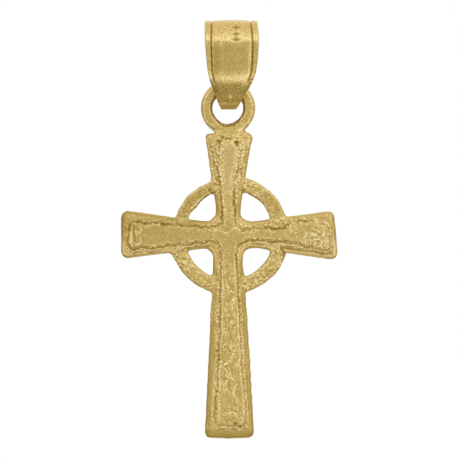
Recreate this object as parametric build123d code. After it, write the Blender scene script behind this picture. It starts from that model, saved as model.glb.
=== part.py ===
from build123d import *
import os
from collections import namedtuple
from math import cos, hypot, radians, sin, tan

# Gold Celtic cross pendant, hanging, in millimetres. +Z is up and the back of the cross faces -Y.
# The origin is the underside of the bail's crown, where a chain bears.
os.makedirs("parts", exist_ok=True)

# Bail: a tapered strap that is folded over the chain and closed under the loop
strap_thickness = 0.50
bail_depth = 3.40
crown_to_saddle = 5.38       # chain seat down to the saddle that carries the loop
foot_wall = 0.62             # metal under the saddle
saddle_radius = 0.66         # inside of the foot, seen from the side
foot_radius = 1.18           # outside of the foot, seen from the side
leg_lean = 22.0              # degrees that the lower legs lean in
outer_bend_radius = 0.95
inner_bend_radius = 0.70
crown_width = 3.98
shoulder_width = 3.32
foot_width = 1.09
bail_offset = 0.18           # the strap was folded a little off centre
foot_offset = -0.03
edge_blend_radius = 1.2      # where the strap's side edges change direction
edge_rounding = 0.10         # all along the strap's edges
rim_width = 0.54             # raised rim along each side, at the crown
rim_width_low = 0.32         # the same rim at the shoulders
groove_width = 0.15
groove_depth = 0.11

# Loop: round wire with both faces ground flat, soldered on top of the cross
loop_wire = 0.88
loop_thickness = 0.76
loop_offset = -0.08
saddle_rise = 0.54           # saddle above the loop's centre
hinge_lift = 0.56            # the line that the loop swings about, above the saddle
hang_clearance = 0.015       # between the saddle's ends and the loop's hole
solder_overlap = 0.14
neck_left = 1.02
neck_right = 1.32
neck_rise = 0.26
neck_sink = 0.20

# Cross: cast plate with flared arms, and a ring round the crossing
upper_reach = 7.54
side_reach = 7.98
lower_reach = 15.00
flare_half_width = 1.80      # half width of an arm at its end
waist_half_width = 1.00      # half width of an arm beside the crossing
waist_distance = 2.10        # crossing's centre to where the waist is measured
corner_radius = 0.45         # corners of the arm ends
crossing_radius = 0.55       # inner corners of the four openings
ring_outer_radius = 4.40
ring_band = 1.08
opening_corner_radius = 0.16
ring_joint_radius = 0.14
plate_thickness = 1.10
front_ring_step = 0.18       # the arms stand proud of the ring on the front
ring_worn_shift = 0.20       # the upper left quarter of the ring is narrower
edge_bevel = 0.10

# Strip: raised and ground flat along the back of each arm
strip_height = 0.20
strip_margin = 0.52          # border left beyond the strip at an arm's end
strip_end_half_width = 1.00
strip_waist_half_width = 0.50
strip_corner_radius = 0.25
strip_bevel = 0.07

# One row for each change of direction in the bail's side edges, from the crown down to the foot.
# Down is a share of the bail's height, left and right are shares of half the width that is named.
Station = namedtuple("Station", "down width offset left right")
stations = [
    Station(0.00, crown_width, bail_offset, 1.00, 0.96),
    Station(0.20, crown_width, bail_offset, 1.00, 1.01),
    Station(0.44, crown_width, bail_offset, 0.93, 0.97),
    Station(0.67, shoulder_width, bail_offset, 0.99, 1.01),
    Station(1.00, foot_width, foot_offset, 1.00, 1.00),
]

# One row for each arm, with left and right seen along the arm from the crossing outwards.
# Reach columns are shares of that arm's reach, and the others of the half width that they name.
Arm = namedtuple("Arm", "turn reach reach_left reach_right end_left end_right waist_left waist_right"
                 " corner_left corner_right strip_left strip_right strip_waist_left strip_waist_right")
arms = [
    Arm(0, side_reach, 0.97, 1.01, 1.00, 1.04, 1.03, 1.00, 0.9, 1.1, 1.05, 1.07, 1.10, 0.90),
    Arm(90, upper_reach, 0.99, 1.01, 0.97, 0.97, 0.97, 0.84, 0.3, 0.9, 0.66, 0.85, 0.84, 0.50),
    Arm(180, side_reach, 1.00, 1.00, 0.98, 1.03, 1.01, 1.00, 1.1, 1.1, 1.07, 1.00, 1.32, 1.22),
    Arm(270, lower_reach, 1.00, 1.00, 1.01, 0.99, 1.05, 1.17, 0.9, 0.9, 1.06, 0.72, 0.82, 1.04),
]

# Places that follow from the sizes
half_depth = bail_depth / 2
crown_z = strap_thickness
saddle_z = -crown_to_saddle
foot_z = saddle_z - foot_wall
lean = radians(leg_lean)


def strap_face(half, top_z, bottom_z, bottom_radius, bend_radius):
    """Side view of one surface of the folded strap: round crown, straight legs, leaning legs, foot."""
    bend_z = bottom_z - bottom_radius * (1 / sin(lean) - 1) + half / tan(lean)
    foot_centre = bottom_z + bottom_radius
    touch_y = bottom_radius * cos(lean)
    touch_z = foot_centre - bottom_radius * sin(lean)
    spring_z = top_z - half
    legs = Polygon((-half, spring_z), (half, spring_z), (half, bend_z), (touch_y, touch_z),
                   (-touch_y, touch_z), (-half, bend_z), align=None)
    face = legs + Pos(0, spring_z) * Circle(half) + Pos(0, foot_centre) * Circle(bottom_radius)
    bends = [v for v in face.vertices()
             if abs(abs(v.X) - half) < 1e-4 and abs(v.Y - bend_z) < 1e-4]
    return fillet(bends, bend_radius)


def edge_x(side, station):
    """Place of the bail's left (side -1) or right (side 1) edge at a station."""
    share = station.left if side < 0 else station.right
    return station.offset + side * share * station.width / 2


def station_z(station):
    return crown_z - station.down * (crown_z - foot_z)


def bail_edge(side, z):
    """Place of the bail's left or right edge at a height, on straight runs between the stations."""
    for upper, lower in zip(stations, stations[1:]):
        if z >= station_z(lower) or lower is stations[-1]:
            share = (station_z(upper) - z) / (station_z(upper) - station_z(lower))
            return edge_x(side, upper) + share * (edge_x(side, lower) - edge_x(side, upper))


def front_prism(face):
    """A prism through the whole depth, from its outline in the front view."""
    return extrude(Plane.XZ * face, amount=bail_depth, both=True)


def build_bail():
    outer_face = strap_face(half_depth, crown_z, foot_z, foot_radius, outer_bend_radius)
    inner_face = strap_face(half_depth - strap_thickness, 0, saddle_z, saddle_radius, inner_bend_radius)
    floor_face = strap_face(half_depth - groove_depth, crown_z - groove_depth,
                            foot_z + groove_depth, foot_radius - groove_depth, outer_bend_radius)
    outer = extrude(Plane.YZ * outer_face, amount=crown_width, both=True)
    inner = extrude(Plane.YZ * inner_face, amount=crown_width * 1.5, both=True)
    groove_floor = extrude(Plane.YZ * floor_face, amount=crown_width * 1.5, both=True)
    over = crown_z + strap_thickness
    under = foot_z - strap_thickness
    heights = [over] + [station_z(station) for station in stations[1:-1]] + [under]
    rows = [(bail_edge(-1, z), z) for z in heights] + [(bail_edge(1, z), z) for z in heights[::-1]]
    blank = Polygon(*rows, align=None)
    turns = [v for v in blank.vertices() if under < v.Y < over]
    strap = (outer & front_prism(fillet(turns, edge_blend_radius))) - inner
    side_faces = [f for f in strap.faces() if abs(f.normal_at().X) > 0.5]
    side_edges = [e for f in side_faces for e in f.edges()]
    between_sides = {e for e in side_edges if sum(e.is_same(other) for other in side_edges) > 1}
    strap = fillet([e for e in side_edges if e not in between_sides], edge_rounding)
    skin = outer - groove_floor
    shoulder_z = station_z(stations[-2])
    for side in (-1, 1):
        high = edge_x(side, stations[0]) - side * rim_width
        low = edge_x(side, stations[-2]) - side * rim_width_low
        groove = Polygon(
            (high - groove_width / 2, over), (high + groove_width / 2, over),
            (low + groove_width / 2, shoulder_z), (low - groove_width / 2, shoulder_z), align=None)
        strap -= skin & front_prism(groove)
    return strap


# The loop's hole is sized so that the foot passes it, and it hangs on the ends of the saddle
saddle_reach = max(abs(bail_edge(side, saddle_z) - loop_offset) for side in (-1, 1))
hole_radius = hypot(saddle_reach, saddle_rise) + hang_clearance
loop_radius = hole_radius + loop_wire / 2
loop_outer_radius = hole_radius + loop_wire
loop_z = saddle_z - saddle_rise
plate_top_z = loop_z - loop_outer_radius + solder_overlap
crossing_z = plate_top_z - upper_reach
ring_inner_radius = ring_outer_radius - ring_band


def build_loop():
    ring = Rot(X=90) * Torus(loop_radius, loop_wire / 2)
    ring &= Box(4 * loop_radius, loop_thickness, 4 * loop_radius)
    base_z = plate_top_z - neck_sink
    neck = Polygon(
        (loop_offset - neck_left, base_z), (loop_offset + neck_right, base_z),
        (loop_offset + neck_right, plate_top_z + neck_rise * 0.6),
        (loop_offset + neck_right * 0.86, plate_top_z + neck_rise),
        (loop_offset - neck_left * 0.62, plate_top_z + neck_rise),
        (loop_offset - neck_left, plate_top_z), align=None)
    solder = extrude(Plane.XZ * neck, amount=loop_thickness / 2, both=True)
    hole = Rot(X=90) * Cylinder(hole_radius, 2 * loop_thickness)
    return Pos(loop_offset, 0, loop_z) * ring + (solder - Pos(loop_offset, 0, loop_z) * hole)


def arm_face(arm):
    """Outline of one flared arm, from behind the crossing's centre to its rounded end."""
    left_end = (arm.reach * arm.reach_left, flare_half_width * arm.end_left)
    right_end = (arm.reach * arm.reach_right, -flare_half_width * arm.end_right)
    left_waist = waist_half_width * arm.waist_left
    right_waist = waist_half_width * arm.waist_right
    face = Polygon(left_end, (waist_distance, left_waist), (0, left_waist),
                   (0, -right_waist), (waist_distance, -right_waist), right_end, align=None)
    for corner, share in ((left_end, arm.corner_left), (right_end, arm.corner_right)):
        found = [v for v in face.vertices() if hypot(v.X - corner[0], v.Y - corner[1]) < 1e-4]
        face = fillet(found, corner_radius * share)
    return Rot(Z=arm.turn) * face


def strip_face(arm):
    """Outline of the raised strip on one arm."""
    end = arm.reach - strip_margin
    face = Polygon(
        (end, strip_end_half_width * arm.strip_left),
        (waist_distance, strip_waist_half_width * arm.strip_waist_left),
        (0, strip_waist_half_width * arm.strip_waist_left),
        (0, -strip_waist_half_width * arm.strip_waist_right),
        (waist_distance, -strip_waist_half_width * arm.strip_waist_right),
        (end, -strip_end_half_width * arm.strip_right), align=None)
    ends = [v for v in face.vertices() if abs(v.X - end) < 1e-4]
    return Rot(Z=arm.turn) * fillet(ends, strip_corner_radius)


def opening_face(corner):
    """One pierced opening, rounded most at the crossing and less where the ring meets the arms."""
    face = Sketch() + corner
    by_distance = face.vertices().sort_by(lambda v: hypot(v.X, v.Y))
    face = fillet(by_distance[0], crossing_radius)
    outer = [v for v in face.vertices() if abs(hypot(v.X, v.Y) - ring_inner_radius) < 1e-4]
    return fillet(outer, opening_corner_radius)


def bevel(solid, y, size):
    """The solid with every edge that lies in the plane at y bevelled."""
    return chamfer([e for e in solid.edges() if all(abs(v.Y - y) < 1e-4 for v in e.vertices())], size)


def build_cross():
    bare = Sketch()
    strips = Sketch()
    for arm in arms:
        bare += arm_face(arm)
        strips += strip_face(arm)
    full_ring = Circle(ring_outer_radius)
    upper_left = Pos(-ring_outer_radius, ring_outer_radius) * Rectangle(
        2 * ring_outer_radius, 2 * ring_outer_radius)
    worn = (full_ring & upper_left) - Pos(ring_worn_shift, -ring_worn_shift) * full_ring
    outline = bare + (full_ring - worn)
    inside = ring_outer_radius - 1.5 * ring_worn_shift
    outline = fillet([v for v in outline.vertices()
                      if inside < hypot(v.X, v.Y) < ring_outer_radius + 1e-4], ring_joint_radius)
    for corner in (Circle(ring_inner_radius) - bare).faces():
        outline -= opening_face(corner)
    half = plate_thickness / 2
    plate = bevel(extrude(Plane.XZ * outline, amount=half, both=True), -half, edge_bevel)
    beside_arms = Circle(ring_outer_radius + ring_band) - bare
    plate -= extrude(Plane.XZ.offset(front_ring_step - half) * beside_arms, amount=-front_ring_step)
    plate = bevel(plate, half, edge_bevel)
    strip = extrude(Plane.XZ * strips, amount=half + strip_height)
    return plate + bevel(strip, -half - strip_height, strip_bevel)


bail = build_bail()
celtic_cross = Pos(0, 0, crossing_z) * build_cross() + build_loop()
export_step(bail, "parts/bail.step")
export_step(celtic_cross, "parts/celtic_cross.step")
print("swing axis at z", round(saddle_z + hinge_lift, 3))
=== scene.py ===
import bmesh
import bpy
import numpy as np
from math import ceil, cos, pi, radians, sin, sqrt, tan
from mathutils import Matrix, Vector
from mathutils.geometry import delaunay_2d_cdt
from mathutils.kdtree import KDTree
from types import SimpleNamespace


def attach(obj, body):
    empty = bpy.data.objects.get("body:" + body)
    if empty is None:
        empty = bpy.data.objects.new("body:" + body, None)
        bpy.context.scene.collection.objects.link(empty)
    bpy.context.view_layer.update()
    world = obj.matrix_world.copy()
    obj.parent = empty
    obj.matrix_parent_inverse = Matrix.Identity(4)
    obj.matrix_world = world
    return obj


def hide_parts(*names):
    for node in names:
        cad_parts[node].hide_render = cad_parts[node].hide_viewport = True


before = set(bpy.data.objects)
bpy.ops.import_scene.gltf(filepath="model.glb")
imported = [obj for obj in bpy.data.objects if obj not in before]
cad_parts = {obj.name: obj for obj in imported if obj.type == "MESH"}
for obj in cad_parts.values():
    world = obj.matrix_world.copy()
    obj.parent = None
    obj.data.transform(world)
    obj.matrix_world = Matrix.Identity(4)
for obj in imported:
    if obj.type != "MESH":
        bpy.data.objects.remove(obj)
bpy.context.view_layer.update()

# View: the back of the hanging pendant, seen straight on through a long lens from arm's length.
# Every size below is in millimetres and becomes metres through MM. The photographed side faces -Y.
MM = 0.001
view_width = 33.85
view_centre_x = -0.007
view_centre_z = -14.89
view_distance = 250.0
photographed_face_y = -0.65

camera_data = bpy.data.cameras.new("camera")
camera_data.sensor_width = 36.0
camera_data.lens = camera_data.sensor_width * (view_distance + photographed_face_y) / view_width
camera_data.clip_start = 0.01
camera = bpy.data.objects.new("camera", camera_data)
camera.location = (view_centre_x * MM, -view_distance * MM, view_centre_z * MM)
camera.rotation_euler = (pi / 2, 0, 0)
bpy.context.scene.collection.objects.link(camera)
bpy.context.scene.camera = camera
bpy.context.scene.view_settings.view_transform = "Standard"

# Cross: one gold casting with flared arms, a ring round the crossing and a wire loop soldered on top.
# Its back was left as cast and then ground along the middle of each arm, so a smoother raised strip
# runs inside rounded borders, with a wandering crease round it, pits, and coarse grain on the ring.
crossing_z = -15.336
plate_half = 0.55
plate_top_z = -7.80
arm_flare = 0.80                 # what half an arm's width gains towards its end
side_arm = (1.80, 7.98, 5.88)    # half width at the end, length, and the part of it that flares
upper_arm = (1.75, 7.54, 5.44)
lower_arm = (1.85, 15.0, 12.9)
ring_inner_radius = 3.32
ring_fade = 0.3                  # the ring's look starts this far inside it
ring_drop = 0.05                 # the ring lies this much under the borders at the back
front_ring_drop = 0.18           # and this much under the arms at the front
back_ring_turn = (0.10, -0.12)   # the step between arm and ring, from inside the arm's edge to outside
front_ring_turn = (0.09, -0.09)
wire_half = 0.44
wire_flat = 0.38                 # half the loop's thickness between its ground faces
wire_corner = 0.02               # softness of the corner where the faces are ground
wire_turn = (plate_top_z + 0.02, plate_top_z + 0.30)
loop_x = -0.08
loop_z = -5.92
loop_hole_radius = 1.136

# Steps of the mesh along the outline, over the back and over the front, and the width of the skirt
contour_step = 0.052
back_step = 0.048
front_step = 0.11
skirt_width = 0.12
clear_of_skirt = 0.6             # the even mesh starts this share of a step inside the skirt

# The borders of the back: how far in from the outline they round over, how deep, and how they slope
border_round_in = 0.15
border_round_deep = 0.12
end_round_less = 0.6             # share of the depth that is gone along the lower arm's end
border_slope = 0.38
border_slope_in = 0.36
lower_slope_less = 0.45          # share of the slope that is gone under the side arms
ring_round_in = 0.24
ring_round_deep = 0.15
front_round = 0.13
end_slope = 0.16                 # the lower arm's end falls away, with painted shade on it
end_slope_from = -14.35          # below this height from the crossing

# The outline: how far the cast skin stands outside the clean one, its waves, and its bulges at the front
skin_swell = 0.018
lower_right_swell = 0.030        # the lower arm's right edge stands out this much further
lower_right_from = -4.45
faces_right = 0.8                # where the outline's normal points to the right by this share
short_wave = 0.28
short_wave_high = 0.008
ring_wave_high = 0.012
long_wave = 0.60
long_wave_high = 0.006
front_taper = 0.6                # share of a bulge that is gone at the front
front_taper_most = 0.07

# Bulges of the outline: x and z from the crossing, how far it stands out (minus for a dip) and half its
# length along the edge
outline_bulges = [
    (1.77, 7.10, 0.100, 0.34), (1.72, 7.45, 0.045, 0.22), (1.70, 6.75, 0.030, 0.30),
    (-1.10, 7.60, 0.030, 0.22), (1.20, 7.75, 0.045, 0.22), (-0.35, 8.27, -0.075, 0.75),
    (-1.20, 9.30, -0.040, 0.90), (-1.60, 6.90, 0.030, 0.50), (-1.42, 5.20, 0.030, 1.20),
    (-1.35, 4.02, 0.125, 0.28), (-2.50, 2.15, 0.120, 0.90), (-2.95, 3.05, 0.080, 1.30),
    (-3.85, 2.00, 0.040, 0.60), (-4.15, -1.35, 0.085, 0.45), (3.36, 2.72, 0.040, 1.30),
    (3.65, -2.50, 0.072, 1.20), (4.20, 1.40, 0.040, 0.30), (8.00, 0.00, 0.020, 1.50),
    (-1.15, 1.18, 0.130, 0.40), (-2.30, 1.05, 0.030, 0.70), (-2.25, 2.95, -0.035, 0.50),
    (2.50, 2.40, -0.085, 0.90), (1.20, 3.10, -0.060, 0.30), (1.85, 2.85, -0.035, 0.50),
    (1.15, 1.18, 0.075, 0.28), (1.75, 1.00, -0.030, 0.45), (1.05, -2.10, -0.068, 0.90),
    (2.20, -1.03, -0.048, 1.00), (-1.38, -1.18, 0.080, 0.28), (2.75, -1.70, -0.030, 0.60),
    (0.00, -15.00, 0.040, 1.40), (-0.10, -15.00, 0.025, 0.35), (-1.30, -4.60, -0.035, 0.50),
    (-1.20, -5.85, 0.055, 0.42), (-1.30, -7.55, 0.020, 0.30), (-1.40, -9.00, 0.010, 0.36),
    (-1.50, -9.75, 0.022, 0.22), (-1.60, -11.10, 0.030, 0.30), (-1.60, -12.40, 0.025, 0.32),
    (-1.70, -14.05, 0.030, 0.34), (1.20, -5.15, -0.036, 0.26), (1.30, -6.20, 0.036, 0.30),
    (1.30, -7.45, 0.020, 0.30), (1.40, -8.60, 0.052, 0.34), (1.40, -9.35, 0.072, 0.30),
    (1.50, -10.25, 0.058, 0.34), (1.60, -11.10, 0.050, 0.30), (1.60, -11.55, -0.020, 0.16),
    (1.60, -12.00, 0.030, 0.26), (1.70, -12.75, 0.030, 0.26),
]

# The raised strip's outline round all four arms, clockwise from the top of the upper arm:
# x and z from the crossing, and how deep the crease beside it is, as a share of crease_depth
strip_outline = [
    (-0.27, 7.02, 0.5), (0.03, 7.11, 0.3), (0.40, 7.11, 0.3), (0.73, 6.98, 0.3), (0.95, 6.78, 0.3),
    (0.98, 6.49, 0.2), (0.84, 6.12, 0.1), (0.77, 5.67, 0.1), (0.73, 5.30, 0.3), (0.69, 4.93, 0.4),
    (0.55, 4.57, 0.3), (0.40, 4.20, 0.3), (0.27, 3.90, 0.3), (0.22, 3.53, 0.5), (0.31, 3.24, 0.9),
    (0.37, 2.79, 1.0), (0.36, 2.35, 1.0), (0.38, 1.83, 1.0), (0.39, 1.31, 0.9), (0.46, 1.02, 0.4),
    (0.55, 0.65, 0.3), (0.77, 0.43, 0.5), (1.14, 0.32, 0.8), (1.58, 0.46, 0.7), (2.17, 0.55, 0.6),
    (2.76, 0.57, 0.8), (3.13, 0.48, 0.9), (3.65, 0.43, 1.0), (4.13, 0.43, 0.9), (4.28, 0.72, 0.7),
    (4.39, 0.94, 0.6), (4.83, 0.97, 0.8), (5.28, 1.00, 0.9), (5.72, 0.94, 0.8), (6.13, 0.98, 0.5),
    (6.46, 0.91, 0.3), (6.75, 0.80, 0.3), (7.12, 0.76, 0.3), (7.31, 0.57, 0.4), (7.42, 0.13, 0.4),
    (7.49, -0.39, 0.5), (7.46, -0.83, 0.5), (7.27, -1.13, 0.6), (6.90, -1.13, 0.6), (6.46, -0.94, 0.7),
    (6.02, -0.87, 0.8), (5.57, -0.79, 0.7), (5.20, -0.68, 0.7), (4.83, -0.61, 0.7), (4.46, -0.55, 0.6),
    (4.02, -0.49, 0.6), (3.50, -0.42, 0.7), (2.91, -0.40, 0.8), (2.32, -0.36, 0.7), (1.73, -0.33, 0.8),
    (1.29, -0.42, 1.0), (0.77, -0.63, 0.7), (0.55, -0.90, 0.6), (0.47, -1.42, 0.8), (0.52, -2.01, 0.9),
    (0.55, -2.75, 0.8), (0.58, -3.49, 0.9), (0.59, -4.23, 1.0), (0.64, -4.97, 1.0), (0.72, -5.63, 0.8),
    (0.75, -6.30, 0.7), (0.77, -6.89, 0.5), (0.81, -7.63, 0.6), (0.86, -8.37, 0.5), (0.90, -8.96, 0.4),
    (0.86, -9.48, 0.4), (0.94, -9.99, 0.5), (1.01, -10.59, 0.5), (1.01, -11.18, 0.5),
    (1.06, -11.77, 0.6), (1.14, -12.36, 0.7), (1.18, -12.95, 0.7), (1.15, -13.54, 1.0),
    (1.09, -13.91, 1.1), (0.84, -14.10, 0.9), (0.55, -13.95, 1.0), (0.18, -14.13, 0.7),
    (-0.27, -14.06, 0.6), (-0.85, -14.04, 0.5), (-1.08, -13.75, 0.6), (-1.05, -13.10, 0.6),
    (-0.98, -12.36, 0.6), (-0.96, -11.77, 0.5), (-0.90, -11.18, 0.4), (-0.90, -10.44, 0.4),
    (-0.86, -9.70, 0.5), (-0.78, -9.26, 0.9), (-0.76, -8.52, 0.8), (-0.72, -7.78, 0.6),
    (-0.66, -7.04, 0.6), (-0.66, -6.30, 0.9), (-0.67, -5.56, 0.8), (-0.63, -4.82, 0.7),
    (-0.62, -3.93, 0.7), (-0.60, -2.97, 0.6), (-0.60, -2.01, 0.5), (-0.67, -1.13, 0.4),
    (-0.78, -0.61, 0.5), (-1.23, -0.48, 0.6), (-1.67, -0.50, 0.7), (-2.11, -0.61, 0.8),
    (-2.71, -0.58, 0.8), (-3.15, -0.68, 0.5), (-3.74, -0.70, 0.6), (-4.18, -0.76, 0.9),
    (-4.63, -0.74, 0.9), (-4.92, -0.79, 0.8), (-5.44, -0.87, 0.8), (-5.81, -0.98, 0.9),
    (-6.10, -0.94, 0.9), (-6.47, -0.83, 0.9), (-6.77, -0.94, 0.8), (-7.03, -1.05, 1.0),
    (-7.29, -0.98, 0.9), (-7.43, -0.76, 0.9), (-7.44, -0.24, 0.9), (-7.38, 0.35, 0.9),
    (-7.30, 0.72, 0.9), (-7.18, 0.91, 0.9), (-6.92, 0.97, 1.0), (-6.55, 0.90, 1.0), (-6.25, 0.80, 1.0),
    (-5.96, 0.83, 0.8), (-5.44, 0.87, 0.7), (-4.92, 0.80, 0.8), (-4.70, 0.65, 1.1), (-4.18, 0.72, 0.7),
    (-3.74, 0.69, 0.8), (-3.22, 0.65, 0.9), (-2.85, 0.60, 1.0), (-2.48, 0.65, 1.1), (-2.11, 0.53, 1.0),
    (-1.52, 0.57, 0.9), (-0.93, 0.60, 0.8), (-0.50, 0.87, 1.1), (-0.52, 1.24, 1.2), (-0.50, 1.68, 1.1),
    (-0.52, 2.13, 1.1), (-0.55, 2.57, 1.0), (-0.60, 3.01, 0.8), (-0.62, 3.46, 0.6), (-0.66, 3.90, 0.4),
    (-0.66, 4.34, 0.2), (-0.74, 4.71, 0.1), (-0.82, 5.08, 0.1), (-0.88, 5.53, 0.1), (-0.86, 6.04, 0.1),
    (-0.78, 6.49, 0.1), (-0.60, 6.93, 0.3),
]
wander = 0.055                   # how far the strip's edge wanders between the points above
strip_rise = 0.20
strip_step = 0.60                # share of the rise that is made at once beside a deep crease
strip_slope = 0.32               # half the width over which the rest is made
upper_strip_slope = 0.20         # and how much wider that is on the upper arm
crease_depth = 0.13
crease_width = 0.041
crease_away = 0.060              # from the strip's outline to the crease's middle, outside it
lip_height = 0.032               # a low lip runs inside the strip's outline
lip_inside = 0.14
lip_width = 0.085
outer_lip_height = 0.035         # and a broken one outside it
outer_lip_away = 0.22
bright_line_inside = 0.060               # painted highlight, with wear: bright lines run this far inside the strip's outline
bright_line_outside = 0.190              # and this far outside it
bright_line_width = 0.050
crease_varies = 0.35             # share by which the crease's depth varies along it
lower_crease_less = 0.28         # share of it that is gone on the lower arm
faintest_crease = 0.05

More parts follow.
